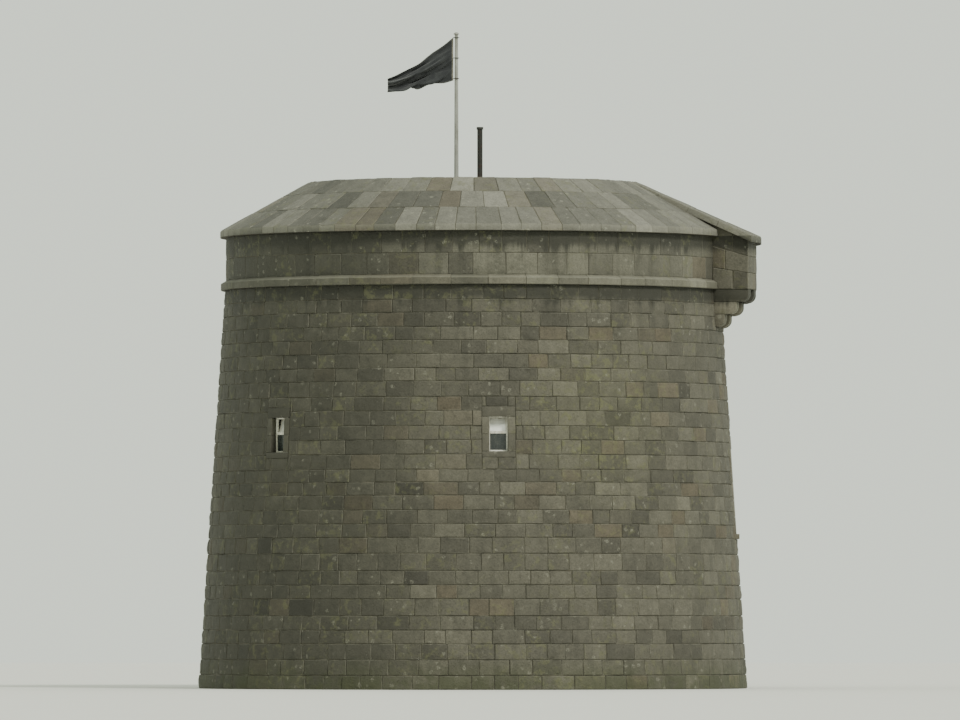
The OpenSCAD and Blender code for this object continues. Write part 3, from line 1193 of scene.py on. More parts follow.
    def below_ledge(self, tree: Shading, height: Value) -> Value:
        """Measures how far each place on the outside is below the nearest ledge.

        Args:
            tree: The material's tree.
            height: The height of the place.

        Returns:
            The distance, and more than 10 where there is no ledge above.
        """
        flat = tree.scaled(tree.place, (1, 1, 0))
        radius = tree.node("VectorMath", {0: flat}, operation="LENGTH").outputs[1]
        inside = tree.math("LESS_THAN", radius, self.outside_r)
        drops = []
        for ledge in self.ledges:
            above = tree.math("GREATER_THAN", height, ledge + 0.01)
            beyond = tree.math("MAXIMUM", inside, above)
            drops.append(tree.times_plus(beyond, 20.0, tree.math("SUBTRACT", ledge, height)))
        return tree.math("MINIMUM", *drops)


@dataclass(frozen=True)
class Bedding(Finish):
    """Lime mortar, and stone that is only seen in the joints and inside."""

    sand: Colour
    deep: Colour

    def shade(self, tree: Shading) -> Value:
        """Builds the mortar: sandy, washed out and stained.

        Args:
            tree: The material's tree.

        Returns:
            The surface shader.
        """
        grain = tree.grouped("Grain", Vector=tree.place, Scale=140.0, Contrast=0.9)
        weather = tree.grouped("Weather", Vector=tree.place)
        colour = tree.mix(tree.span(weather["Blotch"], 0.35, 0.65), self.sand, self.deep)
        colour = tree.mix(1.0, colour, grain["Tone"], "MULTIPLY")
        return tree.surface(colour, 0.95, grain["Height"], 0.006)


@dataclass(frozen=True)
class Timber(Finish):
    """Boards, bare or stained, with the grain along one axis."""

    light: Colour = rgb(112, 88, 60)
    dark: Colour = rgb(62, 47, 32)
    gap: Colour = rgb(18, 14, 10)
    stretch: tuple[float, float, float] = (14.0, 14.0, 0.9)
    board: float = 0.0
    roughness: float = 0.7

    def shade(self, tree: Shading) -> Value:
        """Builds the boards: long grain, growth rings and, where asked, joints between boards.

        Args:
            tree: The material's tree.

        Returns:
            The surface shader.
        """
        fibres = tree.scaled(tree.place, self.stretch)
        rings = tree.noise(fibres, 1.0, 6, 0.6, 1.2)
        fine = tree.noise(fibres, 9.0, 4, 0.7)
        colour = tree.mix(tree.span(rings, 0.3, 0.7), self.dark, self.light)
        colour = tree.mix(tree.span(fine, 0.45, 0.8, 0, 0.5), colour, self.dark)
        height = tree.times_plus(fine, 0.5, rings)
        if self.board:
            boards = tree.math("DIVIDE", tree.parts(tree.place)[0], self.board)
            middle = tree.math("SUBTRACT", tree.math("FRACT", boards), 0.5)
            joint = tree.span(tree.math("ABSOLUTE", middle), 0.475, 0.49)
            colour = tree.mix(joint, colour, self.gap)
            height = tree.math("SUBTRACT", height, tree.times(joint, 3.0))
        return tree.surface(colour, self.roughness, height, 0.003)


@dataclass(frozen=True)
class Paint(Finish):
    """Old paint with brush marks, dirt in it, and chips that show what is under it."""

    coat: Colour
    dirt: Colour = rgb(128, 122, 102)
    under: Colour = rgb(96, 84, 66)
    chips: float = 0.35
    roughness: float = 0.42

    def shade(self, tree: Shading) -> Value:
        """Builds the paint.

        Args:
            tree: The material's tree.

        Returns:
            The surface shader.
        """
        grime = tree.noise(tree.scaled(tree.place, (1.0, 1.0, 0.2)), 9.0, 6, 0.65)
        brush = tree.noise(tree.scaled(tree.place, (90.0, 90.0, 6.0)), 1.0, 3)
        wear = tree.grouped("Wear", Vector=tree.place, Scale=26.0)
        chipped = tree.times(wear["Mask"], self.chips)
        colour = tree.mix(tree.span(grime, 0.35, 0.75, 0, 0.8), self.coat, self.dirt)
        colour = tree.mix(chipped, colour, self.under)
        height = tree.math("SUBTRACT", tree.times(brush, 0.3), chipped)
        rough = tree.times_plus(chipped, 0.4, self.roughness)
        return tree.surface(colour, rough, height, 0.0012)


@dataclass(frozen=True)
class Iron(Finish):
    """Dull black iron with rust that creeps over it."""

    black: Colour = rgb(46, 47, 44)
    worn: Colour = rgb(78, 78, 72)
    rust: Colour = rgb(104, 62, 36)
    old_rust: Colour = rgb(58, 34, 22)
    amount: float = 0.6

    def shade(self, tree: Shading) -> Value:
        """Builds the iron.

        Args:
            tree: The material's tree.

        Returns:
            The surface shader.
        """
        patch = tree.noise(tree.place, 7.0, 9, 0.68, 0.3)
        fine = tree.noise(tree.place, 90.0, 5, 0.7)
        rusty = tree.span(patch, 0.5, 0.66, 0, self.amount)
        colour = tree.mix(tree.span(fine, 0.3, 0.8, 0, 0.5), self.black, self.worn)
        colour = tree.mix(rusty, colour, tree.mix(fine, self.rust, self.old_rust))
        rough = tree.span(patch, 0.45, 0.66, 0.5, 0.88)
        height = tree.times_plus(rusty, fine, tree.times(fine, 0.3))
        return tree.surface(colour, rough, height, 0.002, {"Metallic": 0.25})


@dataclass(frozen=True)
class Glazing(Finish):
    """Window glass with dust and rain marks on it; on the upper panes its pale colour is a painted
    reflection of the sky.
    """

    tint_and_reflection: Colour = rgb(40, 50, 50)
    dust_and_reflection: Colour = rgb(150, 150, 138)
    dusty: float = 0.3
    clear: float = 0.5
    mirror: float = 0.0

    def shade(self, tree: Shading) -> Value:
        """Builds the glass.

        Args:
            tree: The material's tree.

        Returns:
            The surface shader.
        """
        marks = tree.noise(tree.scaled(tree.place, (14.0, 14.0, 5.0)), 1.0, 6, 0.7)
        # Dust film; on the upper panes it is mostly a painted reflection of the sky
        dust_and_reflection_film = tree.span(marks, 0.35, 0.8, 0.25 * self.dusty, self.dusty)
        colour = tree.mix(dust_and_reflection_film, self.tint_and_reflection, self.dust_and_reflection)
        rough = tree.span(marks, 0.35, 0.8, 0.04, 0.32)
        more = {"Metallic": self.mirror, "Transmission Weight": self.clear, "IOR": 1.5}
        return tree.surface(colour, rough, tree.noise(tree.place, 3.0, 2), 0.004, more)


@dataclass(frozen=True)
class Bunting(Finish):
    """Dark woven flag cloth, with a webbing band along the pole and stitched hems."""

    cloth: Colour = rgb(35, 38, 41)
    faded: Colour = rgb(54, 57, 57)
    webbing: Colour = rgb(150, 146, 132)
    length: float = 1.8
    width: float = 1.05

    def shade(self, tree: Shading) -> Value:
        """Builds the cloth from its own map: weave, fading, hems with a seam, and the band.

        Args:
            tree: The material's tree.

        Returns:
            The surface shader.
        """
        flat = tree.node("UVMap", uv_map="UVMap").outputs[0]
        sizes = tree.scaled(flat, (self.length, self.width, 1.0))
        along, aside, _ = tree.parts(sizes)
        threads = {
            "Vector": sizes, "Scale": 420.0, "Color1": (1, 1, 1, 1),
            "Color2": (0.82, 0.82, 0.82, 1), "Mortar": (0.35, 0.35, 0.35, 1), "Mortar Size": 0.08,
        }
        weave = tree.node("TexBrick", threads).outputs[0]
        worn = tree.noise(sizes, 5.0, 6, 0.6)
        colour = tree.mix(tree.span(worn, 0.35, 0.75), self.cloth, self.faded)
        colour = tree.mix(0.5, colour, tree.mix(1.0, colour, weave, "MULTIPLY"))
        from_side = tree.math("MINIMUM", aside, tree.math("SUBTRACT", self.width, aside))
        rim = tree.math("MINIMUM", tree.math("SUBTRACT", self.length, along), from_side)
        hem = tree.span(rim, 0.026, 0.024)
        outer, inner = tree.span(rim, 0.0235, 0.0225), tree.span(rim, 0.0195, 0.0185)
        colour = tree.mix(tree.times(hem, 0.25), colour, self.faded)
        seam = tree.math("SUBTRACT", outer, inner)
        colour = tree.mix(tree.times(seam, 0.5), colour, self.webbing)
        band = tree.mix(1.0, self.webbing, weave, "MULTIPLY")
        colour = tree.mix(tree.span(along, 0.041, 0.039), colour, band)
        height = tree.times_plus(hem, 0.8, tree.times(tree.noise(sizes, 260.0, 2), 0.3))
        return tree.surface(colour, 0.86, height, 0.0012, {"Sheen Weight": 0.25})


@dataclass(frozen=True)
class Plain(Finish):
    """The pale floor of the studio."""

    tone: Colour = rgb(214, 214, 208)
    shadow: Colour = rgb(190, 190, 184)

    def shade(self, tree: Shading) -> Value:
        """Builds the floor: plain, with the least unevenness.

        Args:
            tree: The material's tree.

        Returns:
            The surface shader.
        """
        cloudy = tree.span(tree.noise(tree.place, 0.3, 3), 0.3, 0.7, 0, 0.06)
        inputs = {"Base Color": tree.mix(cloudy, self.tone, self.shadow), "Roughness": 0.9}
        return tree.node("BsdfPrincipled", inputs).outputs[0]


@dataclass(frozen=True)
class Palette:
    """The finishes of the tower."""

    facing: Granite = Granite("ashlar_granite")
    window: Granite = Granite("window_granite", darkening=0.4, bumps=0.006)
    dressed: Granite = replace(
        window, name="dressed_granite", light=rgb(120, 116, 101), dark=rgb(76, 73, 61)
    )
    string: Granite = replace(
        window, name="string_granite", light=rgb(124, 122, 107), dark=rgb(68, 66, 56)
    )
    parapet: Granite = Granite(
        "parapet_granite", light=rgb(110, 108, 94), dark=rgb(58, 56, 48), painted_side_shade=0.68
    )
    slabs: Granite = Granite(
        "slab_granite", light=rgb(129, 127, 116), dark=rgb(62, 61, 54), painted_side_shade=0.25, darkening=0.35,
        streaks=0.2, spots=0.6,
    )
    paving: Granite = Granite(
        "paving_granite", light=rgb(110, 108, 97), dark=rgb(72, 70, 61), painted_side_shade=0.0, darkening=0.5,
        streaks=0.0, spots=0.5,
    )
    mortar: Bedding = Bedding("lime_mortar", sand=rgb(80, 76, 63), deep=rgb(40, 38, 30))
    rubble: Bedding = Bedding("rough_granite", sand=rgb(88, 84, 72), deep=rgb(54, 51, 42))
    joists: Timber = Timber("joist_timber", stretch=(14.0, 0.9, 14.0))
    boards: Timber = replace(joists, name="floor_boards", board=0.18)
    planks: Timber = Timber(
        "door_planks", light=rgb(58, 50, 40), dark=rgb(26, 22, 18), roughness=0.6
    )
    white: Paint = Paint("white_gloss", coat=rgb(226, 224, 212), chips=0.4)
    pole: Paint = Paint(
        "pole_gloss", coat=rgb(150, 151, 143), dirt=rgb(96, 93, 83), chips=0.2
    )
    iron: Iron = Iron("door_iron")
    post: Iron = Iron("post_iron", amount=0.45)
    lower_glass: Glazing = Glazing("lower_glass")
    # Near-white colours: a painted reflection of the sky on the tilted panes, partly dust
    upper_glass: Glazing = Glazing(
        "upper_glass", tint_and_reflection=rgb(232, 234, 228), dust_and_reflection=rgb(248, 246, 238), dusty=0.9, clear=0.0,
        mirror=0.3,
    )
    flag: Bunting = Bunting("flag_bunting")
    floor: Plain = Plain("studio_floor")


# The tower


@dataclass(frozen=True)
class Tower:
    """Sizes of the tower that its stones follow, in metres and radians."""

    foot_r: float
    wall_top: float
    string_r: float
    string_top: float
    lip_r: float
    crest_z: float
    well_r: float
    front_r: float
    roof_r: float
    eave_z: float
    batter: float = 0.066
    parapet_h: float = 1.04
    lip_h: float = 0.15
    wash: float = 0.07
    box_half: float = math.radians(15)
    eave_half: float = math.radians(16.5)
    corbels_half: float = math.radians(13.5)
    corbels: int = 5
    platform_z: float = 10.05
    step_w: float = 0.9
    step_h: float = 0.3
    passage_w: float = 0.9

    @classmethod
    def measured(cls) -> "Tower":
        """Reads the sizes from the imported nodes.

        Returns:
            The tower's sizes.
        """
        string_low, string_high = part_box("string_course")
        parapet_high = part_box("parapet_back")[1]
        roof_low, roof_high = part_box("machicolation_roof")
        return cls(
            foot_r=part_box("lower_wall_back")[1].y,
            wall_top=string_low.z,
            string_r=string_high.y,
            string_top=string_high.z,
            lip_r=parapet_high.y,
            crest_z=parapet_high.z,
            well_r=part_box("gun_platform")[1].y,
            front_r=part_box("machicolation_front")[1].x,
            roof_r=roof_high.x,
            eave_z=roof_low.z,
        )

    def wall_r(self, z: float) -> float:
        """Returns the radius of the wall's face at a height."""
        return self.foot_r - self.batter * z

    @property
    def parapet_r(self) -> float:
        """Radius of the parapet's face."""
        return self.wall_r(self.string_top)

    @property
    def lip_z(self) -> float:
        """Height of the underside of the lip."""
        return self.string_top + self.parapet_h

    @property
    def eave_top(self) -> float:
        """Height of the top of the machicolation's eave."""
        return self.eave_z + self.lip_h

    def roof_z(self, r: np.ndarray | float) -> np.ndarray | float:
        """Returns the height of the machicolation's roof at a radius."""
        fall = (self.crest_z - self.eave_top) / (self.roof_r - self.well_r)
        return self.crest_z - fall * (r - self.well_r)

    def corbel_turns(self) -> list[float]:
        """Returns the directions of the machicolation's corbels."""
        middle = (self.corbels - 1) / 2
        return [self.corbels_half * (i - middle) / middle for i in range(self.corbels)]


QUARTERS = ("front", "left", "back", "door")


def quarter_of(row: Row) -> str:
    """Returns the name of the quarter of the tower that a stone is in."""
    turn = ((row[0] + row[1]) / 2 + math.pi / 4) % FULL_TURN
    return ("door", "back", "left", "front")[int(turn / (math.pi / 2))]


@dataclass
class Stonework:
    """What every sub-assembly of laid stones has."""

    tower: Tower
    palette: Palette
    mason: Mason

    def lay_quarters(
        self, name: str, surface: Revolved, rows: list[Row], cut: Dressing, slot: str,
        finish: Finish,
    ) -> None:
        """Lays stones as one piece a quarter of the tower.

        Args:
            name: The pieces' name, before that of the quarter.
            surface: What the stones are laid on.
            rows: The stones' places.
            cut: How the stones are cut.
            slot: The record's material slot.
            finish: The stones' finish.
        """
        for quarter in QUARTERS:
            mine = [row for row in rows if quarter_of(row) == quarter]
            keep(self.mason.lay(f"{name}_{quarter}", surface, mine, cut), slot, finish)


@dataclass
class WallFacing(Stonework):
    """The coursed granite of the battered wall."""

    lower_course_h: float = 0.36
    upper_course_h: float = 0.33
    change_z: float = 3.6
    stone_w: float = 0.62
    narrowest: float = 0.008
    hole_gap: float = 0.0008
    window_turns: tuple[float, float] = (math.radians(-84.3), math.radians(-138.4))
    window_half: float = 0.395
    corbel_half: float = 0.16
    corbel_low: float = 0.9
    corbel_high: float = 0.1
    cut: Dressing = Dressing(
        proud=0.02, joint=0.013, arris=0.013, rough=0.008, belly=0.01, wander=0.004,
        unevenness=0.006,
    )

    def holes(self, surface: Revolved) -> list[Row]:
        """Lists what the facing stops at: door, windows and corbels.

        Args:
            surface: What the stones are laid on.

        Returns:
            Two directions, a foot and a top for each.
        """
        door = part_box("door_surround")[1]
        low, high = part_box("window_surrounds")
        top = self.tower.wall_top
        spans = [(0.0, door.y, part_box("door_sill")[0].z, door.z)]
        spans += [(turn, self.window_half, low.z, high.z) for turn in self.window_turns]
        for turn in self.tower.corbel_turns():
            levels = (top - self.corbel_low, top + self.corbel_high)
            spans.append((turn, self.corbel_half, *levels))
        return [self.hole(surface, *span) for span in spans]

    def hole(self, surface: Revolved, turn: float, half: float, low: float, high: float) -> Row:
        """Returns the place of an opening of a half width between two heights."""
        angle = math.asin(half / self.tower.wall_r((low + high) / 2)) + self.hole_gap
        return (turn - angle, turn + angle, surface.at_height(low), surface.at_height(high))

    def build(self) -> None:
        """Lays the wall's stones, one piece a quarter and storey."""
        tower = self.tower
        surface = Revolved(tower.foot_r, 0, tower.wall_r(tower.wall_top), tower.wall_top)
        change = surface.at_height(self.change_z)
        storeys = {
            "lower": self.mason.heights(0.0, change, self.lower_course_h),
            "upper": self.mason.heights(change, surface.length, self.upper_course_h),
        }
        holes = self.holes(surface)
        for storey, levels in storeys.items():
            rows = self.mason.courses(surface, levels, 0.0, FULL_TURN, self.stone_w)
            for hole in holes:
                rows = clear_of(rows, hole, self.narrowest)
            name = f"{storey}_facing"
            self.lay_quarters(name, surface, rows, self.cut, "ashlar", self.palette.facing)


@dataclass
class ParapetStones(Stonework):
    """The string course, the parapet's face, its sloping slabs and the inner face of the well."""

    string_w: float = 0.85
    band_w: float = 0.66
    band_course_h: float = 0.445
    well_w: float = 0.6
    well_course_h: float = 0.36
    slab_w: float = 0.52
    slab_spread: float = 0.15
    slopes: tuple[float, ...] = (0.0, 0.36, 0.7, 1.0)
    overhang: float = 0.012
    bed: float = 0.006
    string_cut: Dressing = Dressing(proud=0.012, joint=0.008, arris=0.012, rough=0.002, belly=0.002)
    slab_cut: Dressing = Dressing(
        proud=0.014, joint=0.012, rough=0.005, belly=0.004, unevenness=0.007
    )

    def build(self) -> None:
        """Lays the stones of each part."""
        tower, mason = self.tower, self.mason
        ends = (tower.box_half, FULL_TURN - tower.box_half)
        self.lay_string(ends)
        band = Revolved(tower.parapet_r, tower.string_top, tower.parapet_r, tower.lip_z)
        levels = mason.heights(0, band.length, self.band_course_h, EVEN)
        rows = mason.courses(band, levels, *ends, self.band_w)
        finish = self.palette.parapet
        self.lay_quarters("parapet_facing", band, rows, Dressing(), "parapet", finish)
        self.lay_slope(ends)
        self.lay_well()

    def lay_string(self, ends: tuple[float, float]) -> None:
        """Lays the string course, whose stones reach back to the wall.

        Args:
            ends: Directions of the sides of the projecting box, where the course ends.
        """
        tower = self.tower
        depth = tower.string_r - tower.parapet_r
        upright = tower.string_top - tower.wash
        surface = Moulding(
            tower.string_r, tower.wall_top, tower.string_r, upright, depth=depth, rise=tower.wash
        )
        rows = self.mason.course(
            -self.bed, surface.length + 0.01, *ends, tower.string_r, self.string_w, 0.12
        )
        cut = replace(self.string_cut, depth=depth - 0.004)
        self.lay_quarters("string_stones", surface, rows, cut, "dressed", self.palette.string)

    def lay_slope(self, ends: tuple[float, float]) -> None:
        """Lays the sloping slabs; the lowest ones have the lip as their end.

        Args:
            ends: Directions of the sides of the projecting box, where the slope ends.
        """
        tower, mason = self.tower, self.mason
        slope = Coping(tower.lip_r, tower.lip_z + tower.lip_h, tower.well_r, tower.crest_z)
        levels = [share * slope.length for share in self.slopes]
        size = (self.slab_w, self.slab_spread)
        lowest = mason.course(-self.overhang, levels[1], *ends, tower.lip_r, *size)
        depth = tower.lip_h * slope.normal[1] - self.bed
        thick = replace(self.slab_cut, depth=depth, arris=0.012, unevenness=0.006)
        look = ("parapet", self.palette.slabs)
        self.lay_quarters("lip_slabs", slope, lowest, thick, *look)
        rows = mason.courses(slope, levels[1:], *ends, *size)
        self.lay_quarters("slope_slabs", slope, rows, self.slab_cut, *look)

    def lay_well(self) -> None:
        """Lays the inner face of the parapet, down to the step and clear of the passage."""
        tower, mason = self.tower, self.mason
        side = math.asin(tower.passage_w / 2 / tower.well_r)
        ends = (side, FULL_TURN - side)
        well = Revolved(
            tower.well_r, tower.platform_z, tower.well_r, tower.crest_z, Facing.INWARDS
        )
        levels = mason.heights(0, well.length, self.well_course_h)
        rows = mason.courses(well, levels, *ends, self.well_w)
        rows = clear_of(rows, (*ends, 0.0, tower.step_h), narrow=0.01, low=0.02)
        finish = self.palette.facing
        self.lay_quarters("well_facing", well, rows, Dressing(), "parapet", finish)


@dataclass
class Machicolation(Stonework):
    """The stones of the projecting box over the door."""

    stone_w: float = 0.6
    course_h: float = 0.39
    end_joints: tuple[float, float] = (0.58, 0.38)
    cheek_gap: float = 0.02
    slab_w: float = 0.5
    slopes: tuple[float, ...] = (0.0, 0.27, 0.52, 0.77, 1.0)
    overhang: float = 0.012
    bed: float = 0.006
    slab_cut: Dressing = Dressing(
        proud=0.018, joint=0.012, arris=0.012, rough=0.005, belly=0.004, unevenness=0.003
    )

    def build(self) -> None:
        """Lays the front, the cheeks and the roof, and rounds the corbels."""
        self.lay_box()
        self.lay_roof()
        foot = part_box("machicolation_corbels")[0].z
        tiers = [foot + (self.tower.wall_top - foot) * share for share in (1 / 3, 2 / 3)]
        corbels = cut_stones(
            "machicolation_corbels", "corbel_stones", tiers, self.mason.rng, joint=0.008,
            edge=0.012,
        )
        keep(corbels, "dressed", self.palette.dressed, "machicolation_corbels")

    def lay_box(self) -> None:
        """Lays the front and both cheeks, with their end joints broken from course to course."""
        tower, mason = self.tower, self.mason
        soffit = float(tower.roof_z(tower.front_r)) - tower.lip_h
        front = Revolved(tower.front_r, tower.wall_top, tower.front_r, soffit)
        levels = mason.heights(0, front.length, self.course_h, EVEN)
        half = tower.box_half + Dressing.proud / tower.front_r
        rows = mason.courses(front, levels, -half, half, self.stone_w)
        pieces = [mason.lay("machicolation_facing", front, rows, Dressing())]
        near, far = tower.parapet_r + self.cheek_gap, tower.front_r + self.overhang
        for side in (-1, 1):
            cheek = Cheek(
                side * tower.box_half, tower.wall_top, front.length,
                lambda r: tower.roof_z(r) - tower.lip_h, side,
            )
            rows = []
            for i, (low, high) in enumerate(zip(levels[:-1], levels[1:])):
                share = self.end_joints[i % 2]
                split = tower.parapet_r + (tower.front_r - tower.parapet_r) * share
                rows += [(near, split, low, high), (split, far, low, high)]
            pieces.append(mason.lay(f"cheek_{side}", cheek, rows, Dressing()))
        keep(joined(pieces, "machicolation_facing"), "ashlar", self.palette.facing)

    def lay_roof(self) -> None:
        """Lays the roof's slabs, whose sides sink into the parapet's slope near the well."""
        tower = self.tower
        roof = Coping(tower.roof_r, tower.eave_top, tower.well_r, tower.crest_z)
        cut = replace(self.slab_cut, depth=tower.lip_h * roof.normal[1] - self.bed)
        half = tower.eave_half + self.overhang / tower.roof_r
        levels = roof.length * np.array(self.slopes)
        levels[0] = -self.overhang
        rows = self.mason.courses(roof, levels, -half, half, self.slab_w)
        keep(self.mason.lay("roof_slabs", roof, rows, cut), "dressed", self.palette.slabs)


@dataclass
class GunFloor(Stonework):
    """The paving of the gun platform and the stones of the firing step."""

    flag_w: float = 0.62
    ring_w: float = 0.55
    hub_w: float = 0.3
    hub_h: float = 0.03
    hub_sunk: float = 0.007
    step_stone_w: float = 0.7
    step_joints: tuple[float, float] = (0.02, 0.45)
    step_lap: float = 0.004
    hidden: float = 0.4
    cut: Dressing = Dressing(
        proud=0.006, depth=0.01, joint=0.012, arris=0.006, rough=0.002, belly=0.001,
        unevenness=0.002,
    )

    def build(self) -> None:
        """Lays the platform and the step round it."""
        inner = self.tower.well_r - self.tower.step_w
        self.lay_platform(inner)
        self.lay_step(inner)

    def lay_platform(self, inner: float) -> None:
        """Lays the paving in rings round one round stone.

        Args:
            inner: Radius of the inner edge of the step.
        """
        mason, level = self.mason, self.tower.platform_z
        floor = Revolved(inner, level, 0.0, level)
        rings = mason.heights(0.0, inner - self.hub_w, self.ring_w, EVEN)
        rows = mason.courses(floor, rings, 0.0, FULL_TURN, self.flag_w)
        rows = [row for row in rows if not self.covered(row, inner)]
        flags = mason.lay("platform_flags", floor, rows, self.cut)
        hub = added(
            bpy.ops.mesh.primitive_cylinder_add, vertices=48,
            radius=inner - rings[-1] - self.cut.joint / 2, depth=self.hub_h,
            location=(0, 0, level - self.hub_sunk),
        )
        ease_edges(hub, self.cut.arris)
        flags = joined([flags, toned(hub, mason.rng)], "platform_flags")
        keep(flags, "paving", self.palette.paving)

    def lay_step(self, inner: float) -> None:
        """Lays the top and the face of the step.

        Args:
            inner: Radius of its inner edge.
        """
        tower, mason = self.tower, self.mason
        top_z = tower.platform_z + tower.step_h
        side = math.asin(tower.passage_w / 2 / inner)
        across = (side, FULL_TURN - side, self.step_stone_w)
        top = Revolved(tower.well_r, top_z, inner, top_z)
        treads = mason.courses(top, (*self.step_joints, tower.step_w + self.step_lap), *across)
        face = Revolved(inner, tower.platform_z, inner, top_z, Facing.INWARDS)
        risers = mason.courses(face, (0.0, tower.step_h), *across)
        parts = [
            mason.lay("step_top", top, treads, self.cut),
            mason.lay("step_face", face, risers, self.cut),
        ]
        keep(joined(parts, "step_stones"), "paving", self.palette.paving)

    def covered(self, row: Row, inner: float) -> bool:
        """Says whether a flagstone would lie wholly under a post, where it isn't seen.

        Args:
            row: The flagstone's place.
            inner: Radius of the inner edge of the step.

        Returns:
            Whether the middle of the flagstone is near that of a post.
        """
        r, turn = inner - (row[2] + row[3]) / 2, (row[0] + row[1]) / 2
        for node in ("pole_socket", "iron_post"):
            low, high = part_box(node)
            middle = (low + high) / 2
            away = math.hypot(r * math.cos(turn) - middle.x, r * math.sin(turn) - middle.y)
            if away < (high.x - low.x) / 2 * self.hidden:
                return True
        return False


@dataclass
class Openings:
    """The dressed stones of the door and the windows, the door, the frames and the glass."""

    palette: Palette
    rng: np.random.Generator
    door_joints: tuple[float, ...] = (4.13, 4.54, 4.95, 5.36, 5.77)
    window_joints: tuple[float, ...] = (5.64, 6.05, 6.46)
    planks: int = 8
    plank_gap: float = 0.003
    plank_edge: float = 0.006
    ledges: tuple[float, ...] = (0.12, 0.5, 0.86)
    ledge_t: float = 0.03
    ledge_h: float = 0.16
    ledge_inset: float = 0.05
    ledge_edge: float = 0.005
    stud_r: float = 0.017
    stud_half: float = 0.445
    stud_foot: float = 0.12
    stud_head: float = 0.16
    stud_rows: int = 8
    stud_columns: int = 6
    dome: float = 0.7

    def build(self) -> None:
        """Builds the pieces of the doorway and of both windows."""
        for node, name, levels, finish in (
            ("door_surround", "door_stones", self.door_joints, self.palette.dressed),
            ("window_surrounds", "window_stones", self.window_joints, self.palette.window),
            ("door_sill", "door_sill_stone", (), self.palette.dressed),
        ):
            keep(cut_stones(node, name, levels, self.rng), "dressed", finish, node)
        self.build_door()
        self.stud_door()
        for node, name, width in (
            ("window_frames", "window_joinery", 0.004), ("window_hoppers", "tilted_lights", 0.003)
        ):
            piece = copy_of_node(node, name)
            ease_edges(piece, width)
            keep(piece, "white_paint", self.palette.white, node)
        self.part_glass()

    def build_door(self) -> None:
        """Makes the door of separate planks on ledges."""
        low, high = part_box("door_leaf")
        middle, size = (low + high) / 2, high - low
        width, thick = size.y / self.planks, size.x - self.ledge_t
        boards = []
        for i in range(self.planks):
            centre = (high.x - thick / 2, low.y + width * (i + 0.5), middle.z)
            sides = (thick, width - self.plank_gap, size.z)
            boards.append((centre, sides, self.plank_edge))
        for share in self.ledges:
            centre = (low.x + self.ledge_t / 2, 0.0, low.z + size.z * share)
            sides = (self.ledge_t, size.y - 2 * self.ledge_inset, self.ledge_h)
            boards.append((centre, sides, self.ledge_edge))
        parts = []
        for centre, sides, edge in boards:
            part = added(bpy.ops.mesh.primitive_cube_add, size=1, location=centre, scale=sides)
            ease_edges(part, edge)
            parts.append(part)
        keep(joined(parts, "door_boards"), "door_timber", self.palette.planks, "door_leaf")

    def stud_door(self) -> None:
        """Rounds the door's straps, plate and ring, and adds its studs."""
        iron = copy_of_node("door_ironwork", "door_iron")
        ease_edges(iron, 0.0025, sharper_than=50)
        studs = [iron]
        sill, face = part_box("door_sill")[1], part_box("door_leaf")[1]
        foot, head = sill.z + self.stud_foot, face.z - self.stud_head
        for z in np.linspace(foot, head, self.stud_rows):
            for y in np.linspace(-self.stud_half, self.stud_half, self.stud_columns):
                studs.append(self.stud(Vector((face.x, y, z))))
        keep(joined(studs, "door_iron"), "black_iron", self.palette.iron, "door_ironwork")

    def stud(self, place: Vector) -> bpy.types.Object:
        """Models one domed door stud.

        Args:
            place: The middle of its back, on the door's face.

        Returns:
            The stud.
        """
        stud = added(
            bpy.ops.mesh.primitive_uv_sphere_add, segments=10, ring_count=6, radius=self.stud_r,
            location=place,
        )
        points = corner_points(stud)
        points[:, 0] = place.x + np.clip(points[:, 0] - place.x, -NEAR, 1) * self.dome
        move_points(stud, points)
        with editing(stud, Pick.VERTICES):
            bpy.ops.mesh.remove_doubles(threshold=0.0003)
            bpy.ops.mesh.normals_make_consistent(inside=False)
        smooth(stud)
        return stud

    def part_glass(self) -> None:
        """Parts the panes of the tilted lights from those below them."""
        heights = {
            pane: float(corner_points(pane)[:, 2].mean())
            for pane in loose_copies(copy_of_node("window_glass", "glass"))
        }
        middle = sum(heights.values()) / len(heights)
        lower = [pane for pane, height in heights.items() if height < middle]
        upper = [pane for pane in heights if pane not in lower]
        for name, panes, finish in (
            ("lower_panes", lower, self.palette.lower_glass),
            ("upper_panes", upper, self.palette.upper_glass),
        ):
            piece = joined(panes, name)
            ease_edges(piece, 0.001, steps=1)
            keep(piece, "window_glass", finish, "window_glass")


@dataclass
class Staffs:
    """The flagpole with its stone and truck, and the iron post."""

    palette: Palette
    rng: np.random.Generator
    bolts: int = 6
    bolt_r: float = 0.016
    bolt_h: float = 0.022
    bolt_ring: float = 0.76
    bolt_z: float = 0.05

    def build(self) -> None:
        """Finishes the poles and adds the bolts of the post's foot."""
        socket = copy_of_node("pole_socket", "socket_stone")
        ease_edges(socket, 0.02, steps=3, sharper_than=60)
        keep(toned(socket, self.rng), "paving", self.palette.paving, "pole_socket")
        truck = copy_of_node("pole_truck", "truck")
        smooth(truck)
        keep(truck, "pole_paint", self.palette.pole, "pole_truck")
        post = copy_of_node("iron_post", "post")
        ease_edges(post, 0.006, sharper_than=60)
        low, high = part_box("iron_post")
        centre = (low + high) / 2
        ring_r = (high.x - low.x) / 2 * self.bolt_ring
        parts = [post]
        for i in range(self.bolts):
            turn = FULL_TURN * (i + 0.5) / self.bolts
            x, y = centre.x + ring_r * math.cos(turn), centre.y + ring_r * math.sin(turn)
            bolt = added(
                bpy.ops.mesh.primitive_cylinder_add, vertices=6, radius=self.bolt_r,
                depth=self.bolt_h, location=(x, y, low.z + self.bolt_z),
            )
            ease_edges(bolt, 0.002, steps=1)
            parts.append(bolt)
        keep(joined(parts, "post"), "black_iron", self.palette.post, "iron_post")


